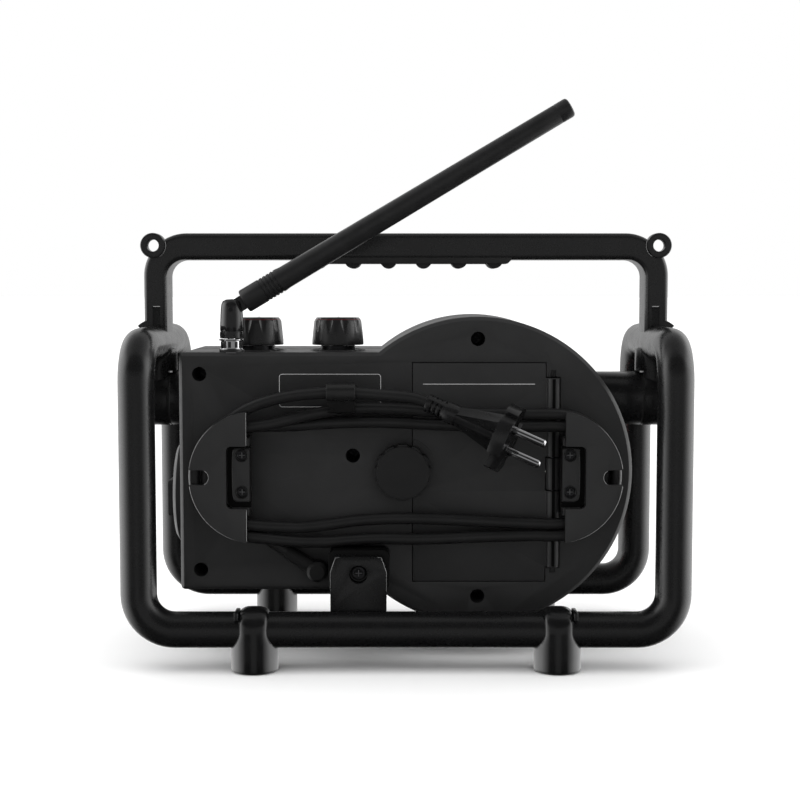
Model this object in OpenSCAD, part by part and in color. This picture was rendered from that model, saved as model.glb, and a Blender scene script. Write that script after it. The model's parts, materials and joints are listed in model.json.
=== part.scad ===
// Jobsite radio in a roll-cage frame, with a stowed mains lead.
// Millimetres. +Z up, front (loudspeaker and display) towards -Y, back towards +Y.
// The origin is on the floor, under the middle of the frame.

/* [Frame] */
// Outer diameter of the bent frame tube
tube_d = 20; // [18:0.5:20]
// Wall of the frame tube
tube_wall = 1.5; // [1:0.1:2.5]
// Frame width between tube axes
frame_w = 295; // [293:1:297]
// Frame depth between tube axes
frame_d = 146.8; // [146:0.2:148]
// Height of the bottom rails' axis over the floor
rail_z = 22.8; // [22:0.2:23.2]
// Height of the top tubes' axis over the floor
hoop_z = 179; // [178:0.5:180]
// Bend radius of the bottom corners, at the tube axis
bend_low = 20; // [16:1:24]
// Bend radius of the top corners, at the tube axis
bend_top = 20; // [18:1:26]

/* [Feet] */
// Distance of each foot from the middle of its rail
foot_x = 83.7; // [78:0.5:95]
// Radius of a foot
foot_r = 13; // [12.8:0.1:14]

/* [Handle] */
// Top of the handle bar over the floor
handle_top = 243; // [242:0.5:246]
// Depth of the handle, front to back
handle_depth = 24.8; // [22:0.2:26]
// Number of finger ridges under the grip
grip_ridges = 6; // [3:1:6]
// Hole radius of the strap eyelets
eyelet_r = 3.5; // [3:0.1:4]

/* [Body] */
// Radius of the round loudspeaker end
drum_r = 87.5; // [87:0.5:88]
// Half width of the whole body
body_half = 128; // [127.5:0.5:128]
// Height of the rectangular control end
box_h = 135; // [133:1:136]
// Wall of the moulded shells
wall = 3; // [2.6:0.2:3.2]

/* [Controls] */
// Radius of the two rotary knobs at their foot
knob_r = 15; // [13:0.5:16]
// Number of finger flutes round each knob
knob_flutes = 10; // [6:1:14]
// Radius of the round front buttons
button_r = 6; // [5:0.25:6.5]
// Number of finger notches round the battery latch
latch_notches = 12; // [8:1:16]

/* [Antenna] */
// Length of the antenna rod
whip_l = 222; // [120:1:224]
// Angle of the antenna over the horizontal, at rest
whip_rest = 30.7; // [28:0.1:34]

/* [Power lead] */
// Diameter of the mains lead
lead_d = 6.5; // [6:0.1:6.6]
// Radius of the two cord guards
guard_r = 36.7; // [36:0.1:37.5]

/* [Hidden] */
$fn = 48;

tr = tube_d / 2;
fx = frame_w / 2;
fy = frame_d / 2;
weld_z = rail_z + bend_low;          // where a hoop's legs start to bend into the rails

dx = -40.5; dz = 107.5;              // axis of the round end
zb = dz - box_h / 2; zt = dz + box_h / 2;
yr = 48.4; yf = -50;                 // back and front faces of the body
cham = 2;                            // chamfer round the back and front faces
screw_xz = [[116.4, 162.8], [116.4, 51.6], [-40.5, 182.6], [-40.5, 36.3], [30, 116.7]];
boss_r = 5.6;

door_x0 = -78.7; door_x1 = -3.8; door_z0 = 45.1; door_z1 = 169.1;
hinge_x = -83; hinge_r = 3.7;
latch_x = 1.8; latch_z = 107.8;

guard_x = 83.5; guard_z = 106.5; guard_cut = 88.3;
guard_y0 = 63.6; guard_y1 = 67.6;

stub_r = 15.9; stub_z = 145.8;

ant_x = 98.6; ant_y = 40.4; ant_z = 199.2;
knob_x = [86.6, 39.8]; knob_y = 13.4; knob_z = 178.2;
pod_y = 5; pod_z = 91;
btn_x = [50, 68, 86, 104]; btn_z = 104;

plug_c = [-54, 77.4, 129.7];          // middle of the plug's flange
plug_slope = 23.5; plug_tilt = 14.5; plug_roll = 50;
plug_n = [-cos(plug_slope) * cos(plug_tilt), sin(plug_tilt), -sin(plug_slope) * cos(plug_tilt)];
plug_u = [-sin(plug_slope), 0, cos(plug_slope)];
plug_v = cross(plug_n, plug_u);
plug_p = cos(plug_roll) * plug_u + sin(plug_roll) * plug_v;
plug_q = cross(plug_n, plug_p);
gland_x = 50; gland_z = 51.7; gland_y = 52.6; gland_up = 33;

// ---- helpers ----
module cx(r, x0, x1, y, z) translate([x0, y, z]) rotate([0, 90, 0]) cylinder(r = r, h = x1 - x0);
module cy(r, x, z, y0, y1) translate([x, y1, z]) rotate([90, 0, 0]) cylinder(r = r, h = y1 - y0);
module cz(r, x, y, z0, z1) translate([x, y, z0]) cylinder(r = r, h = z1 - z0);
module bx(x0, x1, y0, y1, z0, z1) translate([x0, y0, z0]) cube([x1 - x0, y1 - y0, z1 - z0]);
// a drawing in X and Z, pushed along Y
module xz(y0, y1) translate([0, y1, 0]) rotate([90, 0, 0]) linear_extrude(y1 - y0) children();
// a drawing in Y and Z, pushed along X
module yz(x0, x1) translate([x0, 0, 0]) rotate([90, 0, 90]) linear_extrude(x1 - x0) children();
module rr(x0, x1, y0, y1, r) {
  translate([x0 + r, y0]) square([x1 - x0 - 2 * r, y1 - y0]);
  translate([x0, y0 + r]) square([x1 - x0, y1 - y0 - 2 * r]);
  for (x = [x0 + r, x1 - r], y = [y0 + r, y1 - r]) translate([x, y]) circle(r);
}
module elbow(R, r) rotate_extrude(angle = 90) translate([R, 0]) circle(r);

// ---- frame ----
module rail() difference() {
  cx(tr, -fx + bend_low, fx - bend_low, 0, rail_z);
  cx(tr - tube_wall, -fx, fx, 0, rail_z);
}
module rear_rail() color([0.09, 0.09, 0.09]) translate([0, fy, 0]) rail();
module front_rail() color([0.09, 0.09, 0.09]) translate([0, -fy, 0]) rail();

// one side of the cage: over the top, down both legs, and round into the bottom rails
module hoop_run(r, ext) {
  translate([0, -fy + bend_top, hoop_z]) rotate([-90, 0, 0]) cylinder(r = r, h = frame_d - 2 * bend_top);
  for (s = [0, 1]) mirror([0, s, 0]) {
    translate([0, fy - bend_top, hoop_z - bend_top]) rotate([90, 0, 90]) elbow(bend_top, r);
    cz(r, 0, fy, weld_z, hoop_z - bend_top);
    translate([-bend_low, fy, weld_z]) rotate([90, 0, 0]) rotate([0, 0, -90]) elbow(bend_low, r);
    if (ext > 0) cx(r, -bend_low - ext, -bend_low, fy, rail_z);
  }
}
module hoop() difference() { hoop_run(tr, 0); hoop_run(tr - tube_wall, 1); }
module left_hoop() color([0.1, 0.1, 0.1]) mirror([1, 0, 0]) translate([fx, 0, 0]) hoop();
module right_hoop() color([0.1, 0.1, 0.1]) translate([fx, 0, 0]) hoop();

// ---- feet: a bell-shaped boot clipped round the rail ----
module foot() difference() {
  union() {
    intersection() {
      union() {
        cz(foot_r, 0, 0, 1.2, rail_z);
        translate([0, 0, rail_z]) sphere(foot_r);
      }
      xz(-20, 20) union() {
        translate([-8, 0]) square([16, 40]);
        difference() {
          translate([-foot_r, 0]) square([2 * foot_r, 20.5]);
          for (s = [-1, 1]) translate([s * (8 + 5.5), 20.5]) circle(5.5);
        }
      }
    }
    translate([0, 0, 0]) cylinder(r1 = foot_r - 1.2, r2 = foot_r, h = 1.2);
    bx(8, 10.6, -4, 10.5, rail_z + 6.5, rail_z + 11.6);
  }
  cx(tr, -30, 30, 0, rail_z);
}
module foot_rear_left() color([0.13, 0.13, 0.13]) translate([-foot_x, fy, 0]) mirror([1, 0, 0]) foot();
module foot_rear_right() color([0.13, 0.13, 0.13]) translate([foot_x, fy, 0]) foot();
module foot_front_left() color([0.13, 0.13, 0.13]) translate([-foot_x, -fy, 0]) mirror([1, 0, 0]) mirror([0, 1, 0]) foot();
module foot_front_right() color([0.13, 0.13, 0.13]) translate([foot_x, -fy, 0]) mirror([0, 1, 0]) foot();

// ---- handle ----
hy = handle_depth / 2;
hx1 = 153.3; hx0 = 139.6; bar_z = handle_top - 15.5;
eye_x = 147.5; eye_z = handle_top - 7.2; eye_R = 7.3;
module handle_2d(grow) difference() {
  rr(-hx1 + grow, hx1 - grow, 150, handle_top - grow, 25 - grow);
  rr(-hx0 - grow, hx0 + grow, 100, bar_z + grow, 10 + grow);
  translate([-200, 100]) square([400, hoop_z - 100]);
}
module handle_frame() color([0.12, 0.12, 0.12]) difference() {
  union() {
    xz(-hy + 1.8, hy - 1.8) handle_2d(0);
    xz(-hy, hy) handle_2d(1.8);
    for (s = [-1, 1]) {
      // cap over the top and outer side of the frame tube
      intersection() {
        translate([s * fx, 0, hoop_z]) rotate([90, 0, 0]) cylinder(r = tr + 4, h = handle_depth, center = true);
        bx(min(s * hx0, s * 165), max(s * hx0, s * 165), -hy, hy, hoop_z + 6.8, hoop_z + 30);
      }
      cy(eye_R, s * eye_x, eye_z, hy - 4, hy + 1);
    }
  }
  for (s = [-1, 1]) {
    cy(eyelet_r, s * eye_x, eye_z, -30, 30);
    cy(eyelet_r + 0.9, s * eye_x, eye_z, -30, hy - 4);
    cy(tr, s * fx, hoop_z, -30, 30);
    // shallow screw-cover recess low on the back of each leg
    bx(s * 145.8 - 2.4, s * 145.8 + 2.4, hy - 0.8, hy + 1, hoop_z + 11.5, 200.5);
  }
  // seat for the soft grip
  bx(-61.9, 61.9, -hy - 1, hy + 1, bar_z - 5, bar_z + 1.5);
}
module handle_grip() color([0.16, 0.16, 0.16]) {
  intersection() {
    union() {
      xz(-hy + 0.6, hy - 0.6) difference() {
        translate([-61.5, bar_z - 2.2]) square([123, 3.7]);
        for (s = [-1, 1]) translate([s * 61.5, bar_z - 2.2]) rotate(45) square(3, center = true);
      }
      for (i = [0 : grip_ridges - 1]) cy(4.9, (i - (grip_ridges - 1) / 2) * 20.7, bar_z - 0.1, -hy + 2, hy - 2);
    }
    bx(-62, 62, -hy, hy, bar_z - 6, bar_z + 1.5);
  }
}

// ---- side suspension of the body ----
module hanger() difference() {
  union() {
    cx(stub_r, 140, 156.6, 0, stub_z);
    // round neck up to the tube
    cz(11.5, fx, 0, 162.4, hoop_z - 4);
    intersection() { cz(11.5, fx, 0, stub_z, 162.8); bx(140.2, 170, -20, 20, stub_z, 170); }
  }
  cy(tr, fx, hoop_z, -40, 40);
  cx(4.1, 130, 170, 0, stub_z);
  cx(9, 151.6, 170, 0, stub_z);
}
module side_hanger_right() color([0.1, 0.1, 0.1]) hanger();
module side_hanger_left() color([0.1, 0.1, 0.1]) mirror([1, 0, 0]) hanger();
module side_stub_right() color([0.1, 0.1, 0.1]) difference() {
  cx(stub_r, body_half, 138.6, 0, stub_z);
  cx(4.1, 100, 150, 0, stub_z);
}
module side_stub_left() color([0.1, 0.1, 0.1]) difference() {
  cx(stub_r, -138.6, -100, 0, stub_z);
  cy(drum_r, dx, dz, -60, 60);
  cx(4.1, -150, -90, 0, stub_z);
}
module isolators() color([0.05, 0.05, 0.05]) for (s = [0, 1]) mirror([s, 0, 0]) difference() {
  cx(stub_r - 0.6, 138.6, 140, 0, stub_z);
  cx(4.1, 130, 150, 0, stub_z);
}
module frame_bolts() color([0.6, 0.6, 0.62]) {
  cx(4, 120, 151.6, 0, stub_z);
  difference() { cx(7.5, 151.6, 156, 0, stub_z); translate([153.6, 0, stub_z]) rotate([0, 90, 0]) cylinder(r = 3.6, h = 5, $fn = 6); }
  cx(4, -151.6, -111, 0, stub_z);
  difference() { cx(7.5, -156, -151.6, 0, stub_z); translate([-158.6, 0, stub_z]) rotate([0, 90, 0]) cylinder(r = 3.6, h = 5, $fn = 6); }
  cy(2.1, 26.3, 53.4, 42, 66.9);
  difference() { cy(3.8, 26.3, 53.4, 66.9, 69.4); bx(25.9, 26.7, 68.6, 70, 50.9, 55.9); bx(23.8, 28.8, 68.6, 70, 53, 53.8); }
}
module bottom_bracket() color([0.1, 0.1, 0.1]) difference() {
  xz(64.9, fy) difference() {
    translate([10.8, 24]) square([31, 39.1]);
    for (s = [0, 1]) translate([s ? 10.8 : 41.8, 63.1]) polygon(s ? [[-1, 1], [3.2, 1], [0, -8.3], [-1, -8.3]] : [[1, 1], [-3.2, 1], [0, -8.3], [1, -8.3]]);
  }
  cx(tr, 0, 60, fy, rail_z);
  cy(5, 26.3, 53.4, 66.9, 80);
  cy(2.15, 26.3, 53.4, 60, 80);
}
module bracket_damper() color([0.04, 0.04, 0.04]) difference() {
  xz(yr, 64.9) rr(9.3, 43.2, 42.5, 65.6, 4);
  cy(2.15, 26.3, 53.4, 40, 70);
}

// ---- body shells ----
module outline(i) {
  translate([dx, dz]) circle(drum_r - i, $fn = 96);
  translate([dx, zb + i]) square([body_half - dx - i - 4, box_h - 2 * i]);
  rr(dx, body_half - i, zb + i, zt - i, 3);
}
// solid half of the body from the parting plane to a chamfered outer face at y = d
module half_solid(d) {
  translate([dx, 0, dz]) rotate([-90, 0, 0]) {
    cylinder(r = drum_r, h = d - cham, $fn = 96);
    translate([0, 0, d - cham]) cylinder(r1 = drum_r, r2 = drum_r - cham, h = cham, $fn = 96);
  }
  intersection() {
    xz(0, d) rr(dx, body_half, zb, zt, 3);
    translate([0, 0, 0]) linear_extrude(300) polygon([[dx, -1], [body_half, -1], [body_half, d - cham], [body_half - cham, d], [dx, d]]);
    yz(dx, 200) polygon([[-1, zb], [d - cham, zb], [d, zb + cham], [d, zt - cham], [d - cham, zt], [-1, zt]]);
  }
}
module rear_shell() color([0.16, 0.16, 0.16]) difference() {
  union() {
    difference() { half_solid(yr); xz(-1, yr - wall) outline(wall); }
    for (p = screw_xz) cy(p[0] == 30 ? 5.6 : boss_r + 1, p[0], p[1], 0, yr - 1);
    // ring round the lead's entry and the bracket's screw boss
    cy(6, 26.3, 53.4, 30, yr - 1);
    // rib behind the hinge line
    bx(-89, -79.6, 42.2, yr - 1, 51, 163);
    // hinge knuckle of the battery door, in the middle of the hinge line
    cz(hinge_r, hinge_x, yr, 97.2, 115.8);
  }
  for (p = screw_xz) { cy(4.05, p[0], p[1], 18, 60); cy(1.65, p[0], p[1], -1, 30); }
  cy(2.15, 26.3, 53.4, 40, 60);
  // battery opening, with a round lobe under the latch
  xz(yr - wall - 1, yr + 1) { translate([door_x0 - 0.4, door_z0 - 0.4]) square([door_x1 - door_x0 + 0.8, door_z1 - door_z0 + 0.8]); translate([latch_x, latch_z]) circle(13.4); }
  // grooves for the hinge barrel's door knuckles
  for (z = [[53.2, 97.2], [115.8, 160.8]]) cz(hinge_r + 0.4, hinge_x, yr, z[0] - 0.4, z[1] + 0.4);
  bx(hinge_x, door_x0 + 1, yr - 2.5, yr + 1, 52.8, 97.2);
  bx(hinge_x, door_x0 + 1, yr - 2.5, yr + 1, 115.8, 161.2);
  cz(1.55, hinge_x, yr, 50, 165);
  // lead entry, guard screws, antenna, encoders
  cy(6, gland_x, gland_z, yr - wall - 1, yr + 1);
  for (s = [-1, 1], z = [97.6, 118.2]) cy(1.5, s * 91.4, z, yr - 9, yr + 1);
  cz(3, ant_x, ant_y, zt - wall - 1, zt + 1);
  for (x = knob_x) cz(4.5, x, knob_y, zt - wall - 1, zt + 1);
  // half of each side bolt's passage
  cx(4.1, 100, 135, 0, stub_z);
  cx(4.1, -135, -100, 0, stub_z);
}
module front_shell() color([0.16, 0.16, 0.16]) difference() {
  union() {
    mirror([0, 1, 0]) difference() { half_solid(-yf); xz(-1, -yf - wall) outline(wall); }
    for (p = screw_xz) cy(p[0] == 30 ? 5 : boss_r, p[0], p[1], yf + 1, 0);
  }
  for (p = screw_xz) cy(1.6, p[0], p[1], -16, 1);
  cy(57, dx, dz, yf - 1, yf + wall + 1);
  xz(yf - 1, yf + wall + 1) translate([54, 126]) square([54, 28]);
  for (x = btn_x) cy(3.4, x, btn_z, yf - 1, yf + wall + 1);
  cx(4.1, 100, 135, 0, stub_z);
  cx(4.1, -135, -100, 0, stub_z);
}
module case_screws() color([0.55, 0.55, 0.57]) for (p = screw_xz) difference() {
  union() { cy(1.6, p[0], p[1], -14, 18); cy(3.6, p[0], p[1], 18, 20.6); }
  bx(p[0] - 2.4, p[0] + 2.4, 19.4, 22, p[1] - 0.5, p[1] + 0.5);
  bx(p[0] - 0.5, p[0] + 0.5, 19.4, 22, p[1] - 2.4, p[1] + 2.4);
}

// ---- front fascia and loudspeaker ----
module front_panel() color([0.07, 0.07, 0.075]) difference() {
  xz(yf - 2, yf) difference() {
    rr(26, 123, 45, 170, 6);
    translate([dx, dz]) circle(76);
    rr(49, 113, 121, 159, 3);
    for (x = btn_x) translate([x, btn_z]) circle(button_r + 0.4);
  }
}
module grille_ring() color([0.55, 0.05, 0.05]) difference() {
  cy(75.6, dx, dz, yf - 3.2, yf);
  cy(68, dx, dz, yf - 4, yf + 1);
}
module speaker_grille() color([0.12, 0.12, 0.12]) intersection() {
  cy(67.9, dx, dz, yf - 3, yf);
  xz(yf - 3, yf) {
    for (r = [4 : 8 : 60]) translate([dx, dz]) difference() { circle(r + 3.4, $fn = 64); circle(r, $fn = 64); }
    translate([dx, dz]) difference() { circle(67.9, $fn = 64); circle(63, $fn = 64); }
    for (a = [0 : 30 : 150]) translate([dx, dz]) rotate(a) square([132, 3], center = true);
  }
}
module speaker_basket() color([0.2, 0.2, 0.21]) translate([dx, 0, dz]) rotate([-90, 0, 0]) difference() {
  rotate_extrude() polygon([[55.4, -47], [64, -47], [64, -44], [58, -44], [36, -13], [34, -13], [34, -16], [55.4, -44.2]]);
  for (a = [0 : 60 : 300]) rotate(a) translate([48, 0, -28]) cube([16, 20, 14], center = true);
}
module speaker_magnet() color([0.3, 0.3, 0.32]) translate([dx, 0, dz]) rotate([-90, 0, 0]) {
  translate([0, 0, -13]) cylinder(r = 36, h = 4);
  translate([0, 0, -9]) cylinder(r = 38, h = 13);
  translate([0, 0, 4]) cylinder(r = 35, h = 4);
}
module speaker_cone() color([0.1, 0.1, 0.11]) translate([dx, 0, dz]) rotate([-90, 0, 0]) {
  rotate_extrude() polygon([[0, -35.4], [9, -34], [16, -30.4], [48, -44.6], [48, -43.6], [17, -28], [12.4, -26], [12.4, -17.4], [11.6, -17.4], [11.6, -28.5], [0, -32.6]]);
}
module speaker_surround() color([0.06, 0.06, 0.06]) translate([dx, 0, dz]) rotate([-90, 0, 0]) rotate_extrude() {
  intersection() {
    translate([51.7, -44.4]) difference() { circle(3.5); circle(2.9); }
    translate([45, -48]) square([12, 3.6]);
  }
}
module display_lens() color([0.2, 0.25, 0.3]) xz(yf - 2.2, yf) rr(49.2, 112.8, 121.2, 158.8, 2.8);
module display_module() color([0.15, 0.35, 0.25]) {
  xz(yf + 0.4, yf + 6) translate([55, 127]) square([52, 26]);
  bx(50, 111, yf + 6, yf + 7.6, 122, 158);
}
module main_board() color([0.1, 0.35, 0.15]) {
  difference() {
    bx(46, 109, -30, -28.4, 62, 172 - 14);
    for (x = [52, 103], z = [68, 152]) cy(1.7, x, z, -40, -20);
  }
  for (x = btn_x) bx(x - 3, x + 3, -32.4, -30, btn_z - 3, btn_z + 3);
  bx(60, 84, -28.4, -25.4, 124, 146);
  bx(90, 102, -28.4, -22.4, 120, 132);
}
module power_board() color([0.45, 0.35, 0.15]) {
  difference() {
    bx(46, 108, 22, 23.6, 62, 100);
    for (x = [50, 104], z = [66, 96]) cy(1.7, x, z, 10, 30);
  }
  bx(56, 82, 2, 22, 70, 94);
  cy(8, 95, 76, 6, 22);
  bx(89, 101, 10, 22, 86, 97);
}

// ---- battery bay ----
module battery_tray() color([0.14, 0.14, 0.14]) difference() {
  bx(-76.4, -6, 11, yr - wall - 0.4, 47.4, 166.8);
  bx(-74.4, -8, 13, yr, 49.4, 164.8);
  for (p = screw_xz) cy(boss_r + 1.4, p[0], p[1], 0, 60);
}
module battery_contacts() color([0.8, 0.7, 0.4]) for (x = [-57.8, -24.6]) {
  bx(x - 10, x + 10, 19, 37, 49.4, 50);
  translate([x, 28, 50]) cylinder(r1 = 8, r2 = 4.5, h = 6);
  bx(x - 10, x + 10, 19, 37, 164.2, 164.8);
  cz(4, x, 28, 163, 164.2);
}
module battery_door() color([0.17, 0.17, 0.17]) difference() {
  union() {
    xz(yr - wall, yr) { translate([door_x0, door_z0]) square([door_x1 - door_x0, door_z1 - door_z0]); translate([latch_x, latch_z]) circle(13); }
    for (z = [[53.4, 96.8], [116.2, 160.6]]) {
      cz(hinge_r, hinge_x, yr, z[0], z[1]);
      bx(hinge_x, door_x0 + 1, yr - 2, yr, z[0], z[1]);
    }
  }
  cz(1.55, hinge_x, yr, 50, 165);
  cy(4.1, latch_x, latch_z, 40, 60);
}
module hinge_pin() color([0.7, 0.7, 0.72]) cz(1.5, hinge_x, yr, 53.4, 160.6);
module latch_knob() color([0.13, 0.13, 0.13]) difference() {
  union() {
    cy(15.8, latch_x, latch_z, yr + 0.4, yr + 7);
    cy(14.6, latch_x, latch_z, yr + 0.4, yr + 8.2);
    cy(4, latch_x, latch_z, 36, yr + 1);
    // cam finger that catches behind the shell wall
    bx(latch_x, 20, 37.2, 40.6, latch_z - 3, latch_z + 3);
  }
  for (i = [0 : latch_notches - 1]) rotate_notch(i * 360 / latch_notches + 15);
}
module rotate_notch(a) translate([latch_x, 0, latch_z]) rotate([0, a, 0]) cy(1.7, 16.4, 0, yr, yr + 12);

// ---- cord wrap ----
module guard() difference() {
  union() {
    xz(guard_y0, guard_y1) intersection() {
      translate([guard_x, guard_z]) circle(guard_r, $fn = 96);
      translate([guard_cut, 50]) square([60, 120]);
    }
    xz(yr, guard_y0) intersection() {
      translate([guard_x, guard_z]) circle(22);
      translate([87.2, 50]) square([60, 120]);
    }
    xz(yr, 61.4) rr(87.2, 99, 91.8, 123.2, 2);
  }
  // recess over the screw block
  xz(61.4, 70) { rr(86, 99.6, 89, 123.8, 3); translate([80, 89]) square([10, 34.8]); }
  // finger notch in the rim
  xz(50, 70) { translate([109.4 + 4.2, guard_z]) circle(4.2); translate([113.6, guard_z - 4.2]) square([12, 8.4]); }
  for (z = [97.6, 118.2]) { cy(3.3, 91.4, z, 58, 70); cy(1.6, 91.4, z, 40, 70); }
}
module cord_guard_right() color([0.15, 0.15, 0.15]) guard();
module cord_guard_left() color([0.15, 0.15, 0.15]) mirror([1, 0, 0]) guard();
module guard_screws() color([0.5, 0.5, 0.52]) for (s = [-1, 1], z = [97.6, 118.2]) difference() {
  union() { cy(1.5, s * 91.4, z, 41, 58); cy(2.9, s * 91.4, z, 58, 60.2); }
  bx(s * 91.4 - 1.8, s * 91.4 + 1.8, 59.3, 61, z - 0.4, z + 0.4);
  bx(s * 91.4 - 0.4, s * 91.4 + 0.4, 59.3, 61, z - 1.8, z + 1.8);
}

// ---- mains lead ----
module cord_gland() color([0.08, 0.08, 0.08]) {
  cy(7.6, gland_x, gland_z, yr - wall - 2, yr - wall);
  cy(6, gland_x, gland_z, yr - wall, yr);
  cy(5.8, gland_x, gland_z, yr, gland_y + 4.2);
  translate([gland_x, gland_y + 4.2, gland_z]) rotate([-90, 0, 0]) cylinder(r1 = 5.8, r2 = 4.2, h = 1.6);
  translate([gland_x, gland_y, gland_z]) rotate([0, -gland_up, 0]) rotate([0, 90, 0]) cylinder(r1 = 4.15, r2 = 3.8, h = 20.5);
}
// a tube swept along hand-placed points: each ring stands across the local direction
function unit(v) = v / norm(v);
function dir(p, i) = unit(p[min(i + 1, len(p) - 1)] - p[max(i - 1, 0)]);
function side(d) = unit(cross(d, [0, 1, 0]));
function ring(p, i, r, n) = let (d = dir(p, i), a = side(d), b = cross(a, d)) [for (k = [0 : n - 1]) p[i] + r * (cos(360 * k / n) * a + sin(360 * k / n) * b)];
module sweep(p, r, n = 10) {
  m = len(p);
  polyhedron([for (i = [0 : m - 1]) each ring(p, i, r, n)],
    concat([[for (k = [0 : n - 1]) n - 1 - k]],
      [for (i = [0 : m - 2], k = [0 : n - 1]) [i * n + k, i * n + (k + 1) % n, (i + 1) * n + (k + 1) % n, (i + 1) * n + k]],
      [[for (k = [0 : n - 1]) (m - 1) * n + k]]));
}
lead_in_pts = [[67.19, 52.6, 62.87], [70.4, 52.8, 65], [74, 53.2, 67.4]];
lead_out_pts = [[98, 59.9, 139.2], [92, 60, 143.2], [84, 60.3, 147], [74, 61.2, 149.8], [62, 62.4, 151.9], [48, 63.4, 153.2],
  [36, 64.1, 153.6], [24, 64.2, 152.9], [12, 64.2, 151.9], [-0.63, 64.03, 150.83], [-3.55, 64.13, 150.46], [-6.43, 64.41, 149.86], [-9.23, 64.88, 149.04], [-11.92, 65.53, 148.00]];
module cord_lead_in() color([0.07, 0.07, 0.07]) sweep(lead_in_pts, lead_d / 2);
module cord_lead_out() color([0.07, 0.07, 0.07]) sweep(lead_out_pts, lead_d / 2);
// the outline of the wound turns: two guards' half rings and the runs between them
module hank_2d() difference() {
  union() {
    for (s = [-1, 1]) translate([s * guard_x, guard_z]) circle(37.4, $fn = 96);
    translate([-guard_x, guard_z - 37.4]) square([2 * guard_x, 74.8]);
    rr(-76, 76, guard_z - 40.3, guard_z + 38.6, 3);
  }
  for (s = [-1, 1]) translate([s * guard_x, guard_z]) circle(22.6, $fn = 96);
  translate([-guard_x, guard_z - 22.6]) square([2 * guard_x, 45.2]);
}
// the runs lie on the body, pass over the door's hinge, and double up at the guard beside the lead's entry
module cord_hank() color([0.07, 0.07, 0.07]) {
  xz(51, 57.6) intersection() { hank_2d(); translate([-66, 0]) square([300, 200]); }
  xz(52.4, 59) intersection() { hank_2d(); translate([-200, 0]) square([134.1, 200]); }
  xz(51, 63.3) intersection() { hank_2d(); translate([52, 0]) square([200, 200]); }
}
module cable_clip() color([0.05, 0.05, 0.05]) difference() {
  union() {
    yz(28, 44) rr(59.6, 69.6, 148, 158.2, 3);
    yz(28, 44) polygon([[52, 145.4], [57.9, 145.4], [57.9, 140.4], [60.6, 140.4], [66.4, 149], [62, 153], [57, 149.4], [52, 147.4]]);
  }
  sweep([for (i = [4 : 8]) lead_out_pts[i]], lead_d / 2 + 0.2);
}
module at_plug() multmatrix([for (i = [0 : 2]) [plug_p[i], plug_q[i], plug_n[i], plug_c[i]]]) children();
module plug_body() color([0.09, 0.09, 0.09]) at_plug() difference() {
  union() {
    // slotted relief round a core, collar, then a round spine with a flat web that widens to the flange
    translate([0, 0, -47.4]) cylinder(r = 3.9, h = 12);
    difference() {
      translate([0, 0, -47.4]) cylinder(r = 5.2, h = 12);
      for (i = [0 : 3], s = [-1, 1]) translate([-6, s < 0 ? -6 : 1.2, -45.8 + i * 2.8 + (s < 0 ? 0 : 1.4)]) cube([12, 4.8, 1.2]);
    }
    translate([0, 0, -36]) cylinder(r = 6, h = 7);
    translate([0, 0, -29]) cylinder(r1 = 5.2, r2 = 4.6, h = 26);
    rotate([90, 0, 0]) translate([0, 0, -3]) linear_extrude(6) polygon([[-4.6, -30], [4.6, -30], [15.3, -3], [-15.3, -3]]);
    difference() {
      translate([0, 0, -3.8]) cylinder(r = 18.9, h = 7.6, $fn = 72);
      // side slots, and cut-outs for a socket's earth clips
      for (s = [-1, 1]) {
        translate([s * 18.8 - 3, -2.9, -5]) cube([6, 5.8, 10]);
        translate([-6, s * 13.5 - 6, -5]) cube([12, 12, 10]);
      }
    }
  }
  for (s = [-1, 1]) translate([s * 9.5, 0, -4]) cylinder(r = 2.4, h = 12);
}
module plug_pins() color([0.85, 0.85, 0.87]) at_plug() for (s = [-1, 1]) translate([s * 9.5, 0, -4]) {
  cylinder(r = 2.4, h = 25.6);
  translate([0, 0, 25.6]) cylinder(r1 = 2.4, r2 = 1.5, h = 1.2);
}

// ---- side ports ----
module port_pod() color([0.13, 0.13, 0.13]) difference() {
  union() {
    cx(30, body_half, 132.5, pod_y, pod_z);
    translate([132.5, pod_y, pod_z]) rotate([0, 90, 0]) cylinder(r1 = 30, r2 = 27, h = 2);
  }
  bx(131, 136, -6, 16, 80.5, 94.5);
  cx(1.8, 120, 140, -1, 87.5);
  bx(126, 140, 4, 16, 85, 90);
}
module port_cover() color([0.3, 0.3, 0.3]) yz(134.9, 139.2) rr(-11, 21, 78, 99, 2.5);

// ---- antenna ----
module antenna_socket() color([0.75, 0.75, 0.77]) {
  cz(3, ant_x, ant_y, 166, zt);
  translate([ant_x, ant_y, zt]) cylinder(r = 6.4, h = 3.4);
  cz(5.4, ant_x, ant_y, zt + 3.4, 180.6);
  cz(7.3, ant_x, ant_y, 180.6, 182.4);
  cz(2.45, ant_x, ant_y, 182.4, 188);
}
module antenna_base() color([0.1, 0.1, 0.1]) difference() {
  union() {
    cz(6.8, ant_x, ant_y, 182.7, 194.9);
    translate([ant_x, ant_y, 194.9]) cylinder(r1 = 6.4, r2 = 5.7, h = 1.2);
    cz(5.7, ant_x, ant_y, 196, ant_z);
    translate([ant_x, ant_y, ant_z]) sphere(5.7);
  }
  cz(2.5, ant_x, ant_y, 180, 188.4);
  // slot for the rod's tongue: open towards -X and upwards
  bx(ant_x - 10, ant_x + 4.6, ant_y - 2.2, ant_y + 2.2, ant_z - 4.6, ant_z + 10);
  cy(1.3, ant_x, ant_z, 30, 50);
}
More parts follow.
